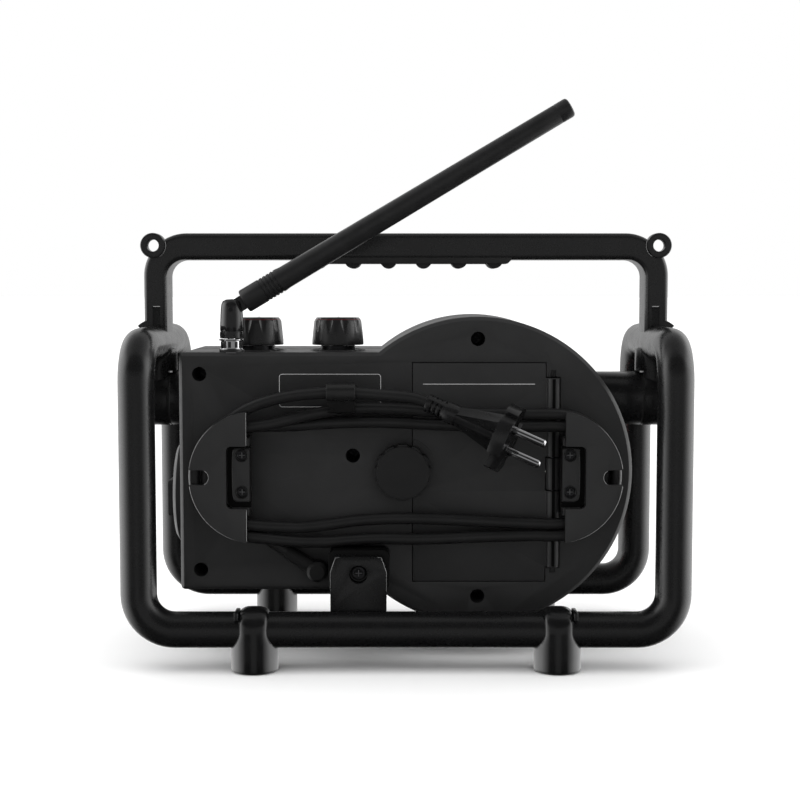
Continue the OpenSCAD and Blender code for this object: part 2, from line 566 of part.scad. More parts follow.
module antenna_whip() color([0.1, 0.1, 0.1]) translate([ant_x, ant_y, ant_z]) rotate([0, -90 + whip_rest, 0]) difference() {
  union() {
    translate([0, 0, 8.2]) cylinder(r1 = 6.2, r2 = 6.8, h = 1);
    translate([0, 0, 9.2]) cylinder(r = 6.8, h = 18);
    translate([0, 0, 27.2]) cylinder(r1 = 6.5, r2 = 5.6, h = whip_l - 27.2 - 8);
    translate([0, 0, whip_l - 8]) cylinder(r = 5.7, h = 7);
    translate([0, 0, whip_l - 1]) cylinder(r1 = 5.7, r2 = 4.9, h = 1);
    // tongue
    intersection() {
      translate([-4.2, -2, -4.2]) cube([8.4, 4, 13]);
      union() { rotate([90, 0, 0]) cylinder(r = 4.2, h = 8, center = true); translate([-4.2, -4, 0]) cube([8.4, 8, 13]); }
    }
  }
  for (z = [15, 19, 23]) translate([0, 0, z]) difference() { cylinder(r = 10, h = 1.4); cylinder(r = 6.1, h = 1.4); }
  rotate([90, 0, 0]) cylinder(r = 1.35, h = 20, center = true);
}
module antenna_pin() color([0.7, 0.7, 0.7]) cy(1.3, ant_x, ant_z, ant_y - 5, ant_y + 5);

// ---- knobs ----
module knob(x) difference() {
  union() {
    translate([x, knob_y, knob_z]) cylinder(r = knob_r, h = 2.4);
    translate([x, knob_y, knob_z + 2.4]) cylinder(r1 = knob_r, r2 = knob_r - 1.2, h = 11.4);
    translate([x, knob_y, knob_z + 13.8]) cylinder(r1 = knob_r - 1.2, r2 = knob_r - 2.6, h = 2);
    cz(2.95, x, knob_y, 169, knob_z);
  }
  for (i = [0 : knob_flutes - 1]) translate([x, knob_y, 0]) rotate(i * 360 / knob_flutes) translate([knob_r + 1.5, 0, knob_z + 6]) cylinder(r1 = 1.8, r2 = 4.6, h = 12);
}
module volume_knob() color([0.1, 0.1, 0.1]) knob(knob_x[0]);
module tuning_knob() color([0.1, 0.1, 0.1]) knob(knob_x[1]);
module encoders() color([0.5, 0.5, 0.52]) for (x = knob_x) difference() {
  union() {
    bx(x - 7, x + 7, knob_y - 7, knob_y + 7, zt - wall - 9, zt - wall);
    cz(4.5, x, knob_y, zt - wall, zt);
    cz(10, x, knob_y, zt, zt + 2.6);
  }
  cz(3, x, knob_y, 168.6, 190);
}

// ---- front buttons ----
module button(i) {
  cy(button_r, btn_x[i], btn_z, yf - 4.6, yf - 1.4);
  cy(3, btn_x[i], btn_z, yf - 1.4, -34);
}
module button_power() color([0.6, 0.08, 0.08]) button(0);
module button_mode() color([0.35, 0.35, 0.35]) button(1);
module button_back() color([0.35, 0.35, 0.35]) button(2);
module button_next() color([0.35, 0.35, 0.35]) button(3);

rear_rail();
front_rail();
left_hoop();
right_hoop();
foot_rear_left();
foot_rear_right();
foot_front_left();
foot_front_right();
handle_frame();
handle_grip();
side_hanger_left();
side_hanger_right();
side_stub_left();
side_stub_right();
isolators();
frame_bolts();
bottom_bracket();
bracket_damper();
rear_shell();
front_shell();
case_screws();
front_panel();
grille_ring();
speaker_grille();
speaker_basket();
speaker_magnet();
speaker_cone();
speaker_surround();
display_lens();
display_module();
main_board();
power_board();
battery_tray();
battery_contacts();
battery_door();
hinge_pin();
latch_knob();
cord_guard_left();
cord_guard_right();
guard_screws();
cord_gland();
cord_lead_in();
cord_hank();
cord_lead_out();
cable_clip();
plug_body();
plug_pins();
port_pod();
port_cover();
antenna_socket();
antenna_base();
antenna_whip();
antenna_pin();
volume_knob();
tuning_knob();
encoders();
button_power();
button_mode();
button_back();
button_next();
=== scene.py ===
import json
import math

import bmesh
import bpy
import numpy as np
from mathutils import Matrix, Vector

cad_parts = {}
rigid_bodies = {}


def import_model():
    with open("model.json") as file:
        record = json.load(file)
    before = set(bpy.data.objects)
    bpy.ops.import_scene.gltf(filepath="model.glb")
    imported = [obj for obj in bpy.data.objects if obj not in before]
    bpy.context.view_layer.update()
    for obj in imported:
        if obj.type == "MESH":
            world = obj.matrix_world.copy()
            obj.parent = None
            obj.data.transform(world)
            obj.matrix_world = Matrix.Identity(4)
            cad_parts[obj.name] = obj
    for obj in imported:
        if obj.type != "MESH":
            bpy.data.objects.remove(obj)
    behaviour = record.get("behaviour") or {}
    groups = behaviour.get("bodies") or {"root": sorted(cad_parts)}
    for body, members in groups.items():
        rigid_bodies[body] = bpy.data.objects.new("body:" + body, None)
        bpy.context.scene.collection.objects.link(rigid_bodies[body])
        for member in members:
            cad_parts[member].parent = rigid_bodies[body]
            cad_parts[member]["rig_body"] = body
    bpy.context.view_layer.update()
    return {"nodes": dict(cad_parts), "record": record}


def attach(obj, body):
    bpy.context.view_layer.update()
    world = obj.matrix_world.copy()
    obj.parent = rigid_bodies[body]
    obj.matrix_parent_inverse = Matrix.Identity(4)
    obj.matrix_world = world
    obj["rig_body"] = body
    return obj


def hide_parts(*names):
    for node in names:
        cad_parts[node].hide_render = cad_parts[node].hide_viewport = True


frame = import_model()
N = frame["nodes"]
SC = bpy.context.scene
MM = 0.001
TAU = 2 * math.pi
rad = math.radians


def link(o):
    SC.collection.objects.link(o)
    return o


# ------------------------------------------------------------------ camera
cam = bpy.data.cameras.new("camera")
cam.sensor_width = 36.0
cam.lens = 1517.6 / 800 * 36.0
cam.shift_x = -0.0075
cam.clip_start = 0.01
cam.clip_end = 100
camo = link(bpy.data.objects.new("camera", cam))
camo.location = (0, 0.9007, 0.2117)
camo.rotation_euler = (rad(85.74), 0, rad(180))
SC.camera = camo
SC.view_settings.view_transform = "Standard"


# ------------------------------------------------------------------ materials
def nodes_of(m):
    m.use_nodes = True
    nt = m.node_tree
    return nt, nt.nodes, nt.links, nt.nodes["Principled BSDF"]


def material(name, base, rough=0.45, spec=0.5, metallic=0.0, grain=0.0, grain_size=0.45, tone=0.0, tone_size=12.0,
             rough_var=0.0, rough_size=6.0, coat=0.0, coat_rough=0.15, sheen=0.0, brushed=None, dust=0.0, wear=0.0,
             wear_color=(0.09, 0.09, 0.09), alpha=None, transmission=0.0, ior=None, wave=None):
    """A moulded, painted or metal surface. Sizes are in millimetres, on the real object."""
    m = bpy.data.materials.new(name)
    nt, ns, ln, p = nodes_of(m)
    p.inputs["Base Color"].default_value = (*base, 1)
    p.inputs["Roughness"].default_value = rough
    p.inputs["Metallic"].default_value = metallic
    p.inputs["Specular IOR Level"].default_value = spec
    p.inputs["Coat Weight"].default_value = coat
    p.inputs["Coat Roughness"].default_value = coat_rough
    p.inputs["Sheen Weight"].default_value = sheen
    p.inputs["Transmission Weight"].default_value = transmission
    if ior:
        p.inputs["IOR"].default_value = ior
    if alpha is not None:
        p.inputs["Alpha"].default_value = alpha
    tc = ns.new("ShaderNodeTexCoord")
    col = None
    if tone:
        n1 = ns.new("ShaderNodeTexNoise")
        n1.inputs["Scale"].default_value = 1000 / tone_size
        n1.inputs["Detail"].default_value = 4
        n1.inputs["Roughness"].default_value = 0.6
        ln.new(tc.outputs["Object"], n1.inputs["Vector"])
        r1 = ns.new("ShaderNodeValToRGB")
        r1.color_ramp.elements[0].position = 0.3
        r1.color_ramp.elements[1].position = 0.72
        lo = [c * (1 - tone) for c in base]
        hi = [c * (1 + tone) for c in base]
        r1.color_ramp.elements[0].color = (*lo, 1)
        r1.color_ramp.elements[1].color = (*hi, 1)
        ln.new(n1.outputs["Fac"], r1.inputs["Fac"])
        col = r1.outputs["Color"]
    if dust:
        n2 = ns.new("ShaderNodeTexNoise")
        n2.inputs["Scale"].default_value = 1000 / 1.1
        n2.inputs["Detail"].default_value = 2
        ln.new(tc.outputs["Object"], n2.inputs["Vector"])
        r2 = ns.new("ShaderNodeMapRange")
        r2.inputs["From Min"].default_value = 0.62
        r2.inputs["From Max"].default_value = 0.75
        r2.inputs["To Max"].default_value = dust
        ln.new(n2.outputs["Fac"], r2.inputs["Value"])
        mx = ns.new("ShaderNodeMix")
        mx.data_type = "RGBA"
        ln.new(r2.outputs["Result"], mx.inputs["Factor"])
        if col is not None:
            ln.new(col, mx.inputs["A"])
        else:
            mx.inputs["A"].default_value = (*base, 1)
        mx.inputs["B"].default_value = (base[0] * 2 + 0.03, base[1] * 2 + 0.03, base[2] * 2 + 0.03, 1)
        col = mx.outputs["Result"]
    if wear:
        g = ns.new("ShaderNodeNewGeometry")
        r3 = ns.new("ShaderNodeMapRange")
        r3.inputs["From Min"].default_value = 0.53
        r3.inputs["From Max"].default_value = 0.60
        r3.inputs["To Max"].default_value = wear
        ln.new(g.outputs["Pointiness"], r3.inputs["Value"])
        mx = ns.new("ShaderNodeMix")
        mx.data_type = "RGBA"
        ln.new(r3.outputs["Result"], mx.inputs["Factor"])
        if col is not None:
            ln.new(col, mx.inputs["A"])
        else:
            mx.inputs["A"].default_value = (*base, 1)
        mx.inputs["B"].default_value = (*wear_color, 1)
        col = mx.outputs["Result"]
    if col is not None:
        ln.new(col, p.inputs["Base Color"])
    if rough_var:
        n3 = ns.new("ShaderNodeTexNoise")
        n3.inputs["Scale"].default_value = 1000 / rough_size
        n3.inputs["Detail"].default_value = 5
        n3.inputs["Roughness"].default_value = 0.65
        ln.new(tc.outputs["Object"], n3.inputs["Vector"])
        r4 = ns.new("ShaderNodeMapRange")
        r4.inputs["From Min"].default_value = 0.3
        r4.inputs["From Max"].default_value = 0.7
        r4.inputs["To Min"].default_value = max(0.02, rough - rough_var)
        r4.inputs["To Max"].default_value = min(1, rough + rough_var)
        ln.new(n3.outputs["Fac"], r4.inputs["Value"])
        ln.new(r4.outputs["Result"], p.inputs["Roughness"])
    normal = None
    if brushed:
        mp = ns.new("ShaderNodeMapping")
        mp.inputs["Scale"].default_value = brushed
        ln.new(tc.outputs["Object"], mp.inputs["Vector"])
        n4 = ns.new("ShaderNodeTexNoise")
        n4.inputs["Scale"].default_value = 1
        n4.inputs["Detail"].default_value = 3
        ln.new(mp.outputs["Vector"], n4.inputs["Vector"])
        b = ns.new("ShaderNodeBump")
        b.inputs["Strength"].default_value = 0.25
        b.inputs["Distance"].default_value = 0.00005
        ln.new(n4.outputs["Fac"], b.inputs["Height"])
        normal = b.outputs["Normal"]
    if grain:
        n5 = ns.new("ShaderNodeTexNoise")
        n5.inputs["Scale"].default_value = 1000 / grain_size
        n5.inputs["Detail"].default_value = 2.5
        n5.inputs["Roughness"].default_value = 0.55
        ln.new(tc.outputs["Object"], n5.inputs["Vector"])
        b = ns.new("ShaderNodeBump")
        b.inputs["Strength"].default_value = min(1, grain)
        b.inputs["Distance"].default_value = 0.00006
        ln.new(n5.outputs["Fac"], b.inputs["Height"])
        if normal is not None:
            ln.new(normal, b.inputs["Normal"])
        normal = b.outputs["Normal"]
    if normal is not None:
        ln.new(normal, p.inputs["Normal"])
    return m


M = {}
M["frame_tube"] = material("frame_tube_satin", (0.0045, 0.0045, 0.0047), rough=0.27, spec=0.5, grain=0.25, grain_size=0.7, tone=0.10, tone_size=30, rough_var=0.05, rough_size=9)
M["foot_boot"] = material("boot_plastic", (0.0045, 0.0045, 0.0047), rough=0.18, grain=0.35, grain_size=0.5, tone=0.12, rough_var=0.06)
M["handle_plastic"] = material("handle_plastic", (0.0075, 0.0075, 0.0077), rough=0.28, grain=0.22, grain_size=0.45, tone=0.10, rough_var=0.05)
M["grip_rubber"] = material("grip_rubber", (0.01, 0.01, 0.01), rough=0.62, spec=0.35, grain=0.6, grain_size=0.35, tone=0.15, rough_var=0.06)
M["case_plastic"] = material("case_plastic", (0.0155, 0.0155, 0.0158), rough=0.46, spec=0.42, grain=0.55, grain_size=0.42, tone=0.09, tone_size=18, rough_var=0.05)
M["trim_plastic"] = material("trim_plastic", (0.0155, 0.0155, 0.0158), rough=0.42, spec=0.42, grain=0.40, grain_size=0.42, tone=0.07, rough_var=0.05)
M["cover_rubber"] = material("cover_rubber", (0.012, 0.012, 0.012), rough=0.66, spec=0.3, grain=0.5, grain_size=0.35, tone=0.12)
M["screw_steel"] = material("screw_steel", (0.045, 0.045, 0.047), rough=0.32, metallic=1.0, rough_var=0.08, rough_size=2, tone=0.15, tone_size=3, grain=0.2, grain_size=0.3)
M["panel_gloss"] = material("panel_gloss", (0.006, 0.006, 0.0065), rough=0.30, spec=0.4, coat=0.15, coat_rough=0.08, tone=0.1, rough_var=0.04, grain=0.05)
M["ring_red"] = material("ring_red", (0.33, 0.009, 0.014), rough=0.32, coat=0.35, tone=0.03, rough_var=0.03, grain=0.03)
M["grille_metal"] = material("grille_metal", (0.01, 0.01, 0.0105), rough=0.38, spec=0.5, grain=0.4, grain_size=0.5, tone=0.12, rough_var=0.06)
M["basket_metal"] = material("basket_metal", (0.03, 0.03, 0.03), rough=0.4, grain=0.3, tone=0.1)
M["magnet_iron"] = material("magnet_iron", (0.08, 0.08, 0.085), rough=0.55, metallic=0.8, grain=0.5, tone=0.2)
M["cone_paper"] = material("cone_paper", (0.028, 0.028, 0.030), rough=0.75, grain=1.0, grain_size=0.5, tone=0.25, tone_size=2)
M["surround_rubber"] = material("surround_rubber", (0.014, 0.014, 0.014), rough=0.5, grain=0.3, tone=0.1)
M["lens_clear"] = material("lens_clear", (0.02, 0.03, 0.034), rough=0.05, spec=0.35, tone=0.03, alpha=0.16, rough_var=0.02)
M["display_glass"] = material("display_glass", (0.16, 0.23, 0.15), rough=0.40, tone=0.04, grain=0.05)
M["board_green"] = material("board_green", (0.012, 0.10, 0.04), rough=0.4, tone=0.25, tone_size=3, grain=0.3)
M["contact_brass"] = material("contact_brass", (0.72, 0.55, 0.26), rough=0.28, metallic=1, tone=0.1, rough_var=0.08)
M["lead_rubber"] = material("lead_rubber", (0.0078, 0.0078, 0.008), rough=0.36, spec=0.38, grain=0.35, grain_size=0.6, tone=0.12, tone_size=20, rough_var=0.06)
M["clip_plastic"] = material("clip_plastic", (0.007, 0.007, 0.007), rough=0.30, spec=0.5, tone=0.1, grain=0.15, rough_var=0.05)
M["pin_chrome"] = material("pin_chrome", (0.66, 0.66, 0.67), rough=0.08, metallic=1, rough_var=0.04, rough_size=3, tone=0.03)
M["antenna_rubber"] = material("antenna_rubber", (0.009, 0.009, 0.0093), rough=0.36, spec=0.4, grain=0.5, grain_size=0.4, tone=0.14, tone_size=8, rough_var=0.06)
M["knob_plastic"] = material("knob_plastic", (0.009, 0.009, 0.0093), rough=0.3, spec=0.5, grain=0.25, tone=0.10, rough_var=0.06)
M["button_red"] = material("button_red", (0.36, 0.012, 0.016), rough=0.35, grain=0.2, tone=0.06)
M["button_grey"] = material("button_grey", (0.055, 0.055, 0.058), rough=0.45, grain=0.3, tone=0.08)
M["antenna_gloss"] = material("antenna_gloss", (0.007, 0.007, 0.0072), rough=0.16, spec=0.5, tone=0.10, tone_size=8, grain=0.05, rough_var=0.03)
M["lcd_ink"] = material("lcd_ink", (0.012, 0.014, 0.012), rough=0.5, tone=0.1, tone_size=1.5, grain=0.1)
M["print_white"] = material("print_white", (0.42, 0.42, 0.42), rough=0.5, tone=0.08, tone_size=0.8, grain=0.1)
# lighter copy of the screw metal for cross marks on screw heads: painted glints
M["screw_painted_glint"] = material("screw_painted_glint", (0.17, 0.17, 0.175), rough=0.26, metallic=1.0, tone=0.3, tone_size=1.5, grain=0.3, grain_size=0.3)
# light grey for fine lines on edges and rims: painted highlights
M["painted_highlight_line"] = material("painted_highlight_line", (0.26, 0.26, 0.26), rough=0.5, spec=0.4, tone=0.25, tone_size=2, grain=0.3, grain_size=0.3)
# near-black damper rubber: partly its own colour, partly painted shade of the gap behind the bracket
M["damper_rubber_and_shade"] = material("damper_rubber_and_shade", (0.0020, 0.0020, 0.0020), rough=0.55, spec=0.22, tone=0.2, grain=0.4)
M["gland_black"] = material("gland_black", (0.0048, 0.0048, 0.0049), rough=0.5, spec=0.3, tone=0.12, grain=0.3)
# near-black for thin sheets and strips that stand for painted shade
M["painted_shade_black"] = material("painted_shade_black", (0.0012, 0.0012, 0.0012), rough=0.6, spec=0.12, tone=0.2, grain=0.3)
M["red_line"] = material("red_line", (0.075, 0.004, 0.006), rough=0.45, tone=0.06)
M["plug_gloss"] = material("plug_gloss", (0.006, 0.006, 0.0062), rough=0.24, spec=0.5, grain=0.15, grain_size=0.5, tone=0.12, tone_size=9, rough_var=0.05)
M["latch_plastic"] = material("latch_plastic", (0.0075, 0.0075, 0.0077), rough=0.50, spec=0.40, grain=0.5, grain_size=0.42, tone=0.10, rough_var=0.06)

for s in frame["record"]["subparts"]:
    o = N[s["node"]]
    o.data.materials.clear()
    o.data.materials.append(M[s["material_slot"]])


# ------------------------------------------------------------------ mesh helpers
def new_mesh(name, verts, faces, mat, smooth=True):
    me = bpy.data.meshes.new(name)
    me.from_pydata([tuple(v) for v in verts], [], faces)
    me.validate()
    me.update()
    bm = bmesh.new()
    bm.from_mesh(me)
    bmesh.ops.recalc_face_normals(bm, faces=bm.faces)
    bm.to_mesh(me)
    bm.free()
    o = link(bpy.data.objects.new(name, me))
    if mat:
        me.materials.append(M[mat] if isinstance(mat, str) else mat)
    if smooth:
        me.shade_smooth()
    return o


def smooth_by_angle(me, deg=35):
    me.shade_smooth()
    bm = bmesh.new()
    bm.from_mesh(me)
    for e in bm.edges:
        if len(e.link_faces) == 2:
            e.smooth = e.calc_face_angle(0) < rad(deg)
    bm.to_mesh(me)
    bm.free()


def applied(o):
    """Replaces the object's mesh by what its modifiers make of it."""
    dg = bpy.context.evaluated_depsgraph_get()
    me = bpy.data.meshes.new_from_object(o.evaluated_get(dg), preserve_all_data_layers=True, depsgraph=dg)
    o.modifiers.clear()
    old = o.data
    o.data = me
    me.name = o.name
    if old.users == 0:
        bpy.data.meshes.remove(old)
    return o


def bevelled(o, width, seg=2, limit=32, smooth=40):
    b = o.modifiers.new("b", "BEVEL")
    b.width = width
    b.segments = seg
    b.limit_method = "ANGLE"
    b.angle_limit = rad(limit)
    b.use_clamp_overlap = True
    b.miter_outer = "MITER_ARC"
    applied(o)
    smooth_by_angle(o.data, smooth)
    return o


def cad_copy(node, name, width=0.0004, seg=2, limit=32, mat=None, smooth=40, merge=2e-6):
    """A copy of a CAD node's mesh with its edges broken, standing for that node."""
    me = N[node].data.copy()
    o = link(bpy.data.objects.new(name, me))
    me.name = name
    bm = bmesh.new()
    bm.from_mesh(me)
    bmesh.ops.remove_doubles(bm, verts=bm.verts, dist=merge)
    bmesh.ops.dissolve_degenerate(bm, dist=1e-6, edges=bm.edges)
    bmesh.ops.dissolve_limit(bm, angle_limit=rad(0.6), verts=bm.verts, edges=bm.edges, delimit=set())
    bm.to_mesh(me)
    bm.free()
    if me.attributes.get("custom_normal"):
        me.attributes.remove(me.attributes["custom_normal"])
    if mat:
        me.materials.clear()
        me.materials.append(M[mat])
    if width > 0:
        bevelled(o, width, seg, limit, smooth)
    else:
        smooth_by_angle(me, smooth)
    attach(o, N[node]["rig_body"])
    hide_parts(node)
    return o


def frames_along(pts, closed=False):
    """Parallel-transported frames along a line of points."""
    P = [Vector(p) for p in pts]
    n = len(P)
    T = []
    for i in range(n):
        if closed:
            t = P[(i + 1) % n] - P[i - 1]
        else:
            t = P[min(i + 1, n - 1)] - P[max(i - 1, 0)]
        T.append(t.normalized())
    u = T[0].orthogonal().normalized()
    U = [u]
    for i in range(1, n):
        q = T[i - 1].rotation_difference(T[i])
        u = (q @ U[-1])
        u = (u - T[i] * u.dot(T[i])).normalized()
        U.append(u)
    return P, T, U


def tube(name, pts, r, mat, seg=32, caps=True, radii=None):
    P, T, U = frames_along(pts)
    verts, faces = [], []
    n = len(P)
    for i in range(n):
        rr = radii[i] if radii else r
        w = T[i].cross(U[i])
        for k in range(seg):
            a = TAU * k / seg
            verts.append(P[i] + (U[i] * math.cos(a) + w * math.sin(a)) * rr)
    for i in range(n - 1):
        for k in range(seg):
            faces.append((i * seg + k, i * seg + (k + 1) % seg, (i + 1) * seg + (k + 1) % seg, (i + 1) * seg + k))
    if caps:
        faces.append(tuple(range(seg - 1, -1, -1)))
        faces.append(tuple((n - 1) * seg + k for k in range(seg)))
    o = new_mesh(name, verts, faces, mat)
    smooth_by_angle(o.data, 50)
    return o


def arc(c, r, a0, a1, n, ax, ay):
    """Points of an arc in the plane of ax and ay, degrees."""
    out = []
    for i in range(n + 1):
        a = rad(a0 + (a1 - a0) * i / n)
        out.append(Vector(c) + Vector(ax) * (r * math.cos(a)) + Vector(ay) * (r * math.sin(a)))
    return out


def lathe(name, profile, mat, seg=64, origin=(0, 0, 0), rot=None, smooth=35):
    """profile: (radius, height) pairs in metres, turned round Z, then rotated and moved."""
    verts, faces = [], []
    rings = []
    for r, z in profile:
        if r < 1e-7:
            rings.append([len(verts)])
            verts.append(Vector((0, 0, z)))
        else:
            rings.append(list(range(len(verts), len(verts) + seg)))
            for k in range(seg):
                a = TAU * k / seg
                verts.append(Vector((r * math.cos(a), r * math.sin(a), z)))
    for A, B in zip(rings, rings[1:]):
        if len(A) == 1 and len(B) == 1:
            continue
        for k in range(seg):
            k2 = (k + 1) % seg
            if len(A) == 1:
                faces.append((A[0], B[k2], B[k]))
            elif len(B) == 1:
                faces.append((A[k], A[k2], B[0]))
            else:
                faces.append((A[k], A[k2], B[k2], B[k]))
    m = Matrix.Translation(Vector(origin))
    if rot is not None:
        m = m @ rot
    verts = [m @ v for v in verts]
    o = new_mesh(name, verts, faces, mat)
    smooth_by_angle(o.data, smooth)
    return o


def rounded(points, radii, n=8):
    """A closed 2D outline with its corners rounded. points: (x, y); radii: one number or one per corner."""
    out = []
    m = len(points)
    for i in range(m):
        p0, p1, p2 = Vector(points[i - 1]), Vector(points[i]), Vector(points[(i + 1) % m])
        r = radii[i] if hasattr(radii, "__len__") else radii
        a, b = (p0 - p1).normalized(), (p2 - p1).normalized()
        ang = a.angle(b)
        if r <= 0 or ang > math.pi - 1e-3:
            out.append(p1.copy())
            continue
        d = min(r / math.tan(ang / 2), 0.49 * (p0 - p1).length, 0.49 * (p2 - p1).length)
        r = d * math.tan(ang / 2)
        c = p1 + (a + b).normalized() * (r / math.sin(ang / 2))
        s, e = p1 + a * d - c, p1 + b * d - c
        a0, a1 = math.atan2(s.y, s.x), math.atan2(e.y, e.x)
        da = (a1 - a0 + math.pi) % TAU - math.pi
        for k in range(n + 1):
            t = a0 + da * k / n
            out.append(c + Vector((math.cos(t), math.sin(t))) * r)
    return out


def plate(name, loops, lo, hi, axis, mat, bevel=0.0, res=3, smooth=35):
    """A flat plate from closed outlines (holes are inner loops), pushed from lo to hi along the axis, with rounded edges.
    For axis 'Y' the outline is (x, z), for 'X' it is (y, z), for 'Z' it is (x, y). Metres."""
    cu = bpy.data.curves.new(name, "CURVE")
    cu.dimensions = "2D"
    cu.fill_mode = "BOTH"
    half = (hi - lo) / 2
    bevel = min(bevel, half * 0.98)
    cu.extrude = half - bevel
    cu.bevel_depth = bevel
    cu.bevel_resolution = res
    cu.offset = -bevel
    for lp in loops:
        sp = cu.splines.new("POLY")
        sp.points.add(len(lp) - 1)
        for i, p in enumerate(lp):
            sp.points[i].co = (p[0], p[1], 0, 1)
        sp.use_cyclic_u = True
    tmp = link(bpy.data.objects.new(name + "_c", cu))
    dg = bpy.context.evaluated_depsgraph_get()
    me = bpy.data.meshes.new_from_object(tmp.evaluated_get(dg))
    bpy.data.objects.remove(tmp)
    bpy.data.curves.remove(cu)
    me.name = name
    mid = (lo + hi) / 2
    co = np.zeros(len(me.vertices) * 3)
    me.vertices.foreach_get("co", co)
    co = co.reshape(-1, 3)
    if axis == "Y":
        new = np.stack([co[:, 0], mid + co[:, 2], co[:, 1]], 1)
    elif axis == "X":
        new = np.stack([mid + co[:, 2], co[:, 0], co[:, 1]], 1)
    else:
        new = np.stack([co[:, 0], co[:, 1], mid + co[:, 2]], 1)
    me.vertices.foreach_set("co", new.ravel())
    bm = bmesh.new()
    bm.from_mesh(me)
    bmesh.ops.remove_doubles(bm, verts=bm.verts, dist=1e-6)
    bmesh.ops.recalc_face_normals(bm, faces=bm.faces)
    bm.to_mesh(me)
    bm.free()
    o = link(bpy.data.objects.new(name, me))
    me.materials.clear()
    me.materials.append(M[mat])
    smooth_by_angle(me, smooth)
    return o


def circle_loop(cx, cz, r, n=48):
    return [(cx + r * math.cos(TAU * k / n), cz + r * math.sin(TAU * k / n)) for k in range(n)]


def boolean(o, cutter, op="DIFFERENCE", keep=False):
    b = o.modifiers.new("bool", "BOOLEAN")
    b.operation = op
    b.solver = "EXACT"
    b.object = cutter
    applied(o)
    if not keep:
        me = cutter.data
        bpy.data.objects.remove(cutter)
        if me.users == 0:
            bpy.data.meshes.remove(me)
    return o


def joined(name, parts):
    """One object from several, keeping each one's own materials."""
    mats, bm = [], bmesh.new()
    for o in parts:
        me = o.data
        index = []
        for m in me.materials:
            if m not in mats:
                mats.append(m)
            index.append(mats.index(m))
        tmp = me.copy()
        tmp.transform(o.matrix_world)
        for f in tmp.polygons:
            f.material_index = index[f.material_index] if index else 0
        bm.from_mesh(tmp)
        bpy.data.meshes.remove(tmp)
    me = bpy.data.meshes.new(name)
    bm.to_mesh(me)
    bm.free()
    for m in mats:
        me.materials.append(m)
    out = link(bpy.data.objects.new(name, me))
    for o in parts:
        d = o.data
        bpy.data.objects.remove(o)
        if d.users == 0:
            bpy.data.meshes.remove(d)
    return out


def settle(o, *nodes):
    """The piece rides with those nodes' body and replaces them."""
    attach(o, N[nodes[0]]["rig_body"])
    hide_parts(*nodes)
    return o


def mv(*p):
    return Vector([x * MM for x in p])


# ------------------------------------------------------------------ the mains lead, one smooth line from gland to plug
def catmull(pts, step=0.0016):
    """A centripetal spline through the points, sampled evenly."""
    P = [Vector(p) for p in pts]
    P = [P[0] * 2 - P[1]] + P + [P[-1] * 2 - P[-2]]
    out = []
    for i in range(1, len(P) - 2):
        p0, p1, p2, p3 = P[i - 1:i + 3]
        t0 = 0.0
        t1 = t0 + max((p1 - p0).length, 1e-6) ** 0.5
        t2 = t1 + max((p2 - p1).length, 1e-6) ** 0.5
        t3 = t2 + max((p3 - p2).length, 1e-6) ** 0.5
        m = max(2, int((p2 - p1).length / 0.0005))
        for k in range(m):
            t = t1 + (t2 - t1) * k / m
            a1 = p0 * ((t1 - t) / (t1 - t0)) + p1 * ((t - t0) / (t1 - t0))
            a2 = p1 * ((t2 - t) / (t2 - t1)) + p2 * ((t - t1) / (t2 - t1))
            a3 = p2 * ((t3 - t) / (t3 - t2)) + p3 * ((t - t2) / (t3 - t2))
            b1 = a1 * ((t2 - t) / (t2 - t0)) + a2 * ((t - t0) / (t2 - t0))
            b2 = a2 * ((t3 - t) / (t3 - t1)) + a3 * ((t - t1) / (t3 - t1))
            out.append(b1 * ((t2 - t) / (t2 - t1)) + b2 * ((t - t1) / (t2 - t1)))
    out.append(P[-2].copy())
    # even spacing
    acc, res, want = 0.0, [out[0]], step
    for a, b in zip(out, out[1:]):
        d = (b - a).length
        while acc + d >= want and d > 0:
            f = (want - acc) / d
            a = a + (b - a) * f
            res.append(a.copy())
            d = (b - a).length
            acc = 0.0
            want = step
        acc += d
    if (res[-1] - out[-1]).length > step * 0.3:
        res.append(out[-1])
    else:
        res[-1] = out[-1]
    return res


def half_turn(cx, r0, r1, y0, y1, a0, a1, n):
    """Points round a guard's core, from angle a0 to a1 (degrees, 0 along +X, 90 up)."""
    out = []
    for k in range(n + 1):
        t = k / n
        a = rad(a0 + (a1 - a0) * t)
        r = r0 + (r1 - r0) * t
        out.append((cx + r * math.cos(a), y0 + (y1 - y0) * t, 106.5 + r * math.sin(a)))
    return out


CORD_D = 6.5
route = [(67.19, 52.6, 62.87), (70.9, 52.7, 65.3), (75.6, 52.9, 68.4), (82, 53.1, 72.4), (89.5, 53.2, 76.9)]
# first pass round the right guard, close to the body
route += half_turn(83.5, 28.2, 27.8, 53.3, 53.5, -54, 66, 10)
route += [(86, 53.5, 133.9), (76, 53.6, 134.0), (64, 53.8, 134.2), (46, 54.0, 135.4), (28, 54.2, 136.2), (8, 54.3, 136.1), (-14, 54.3, 135.0), (-36, 54.3, 134.2), (-56, 54.6, 133.9), (-70, 55.4, 133.9)]
route += half_turn(-83.5, 27.5, 27.5, 55.9, 55.9, 90, 270, 15)
route += [(-70, 55.4, 79.3), (-54, 54.7, 79.9), (-34, 54.4, 80.8), (-12, 54.4, 81.7), (10, 54.4, 81.8), (30, 54.6, 80.4), (46, 55.6, 78.3), (60, 57.6, 77.3), (71, 59.3, 77.9)]
route += half_turn(83.5, 27.7, 27.7, 60.1, 60.1, -86, 84, 14)
route += [(76, 60.1, 135.5), (64, 59.3, 138.3), (50, 57.0, 141.3), (36, 55.2, 143.3), (22, 54.4, 144.0), (4, 54.3, 143.6), (-16, 54.3, 142.2), (-38, 54.3, 141.2), (-58, 54.7, 140.9), (-72, 55.6, 140.8)]
route += half_turn(-83.5, 34.2, 34.2, 55.9, 55.9, 91, 269, 16)
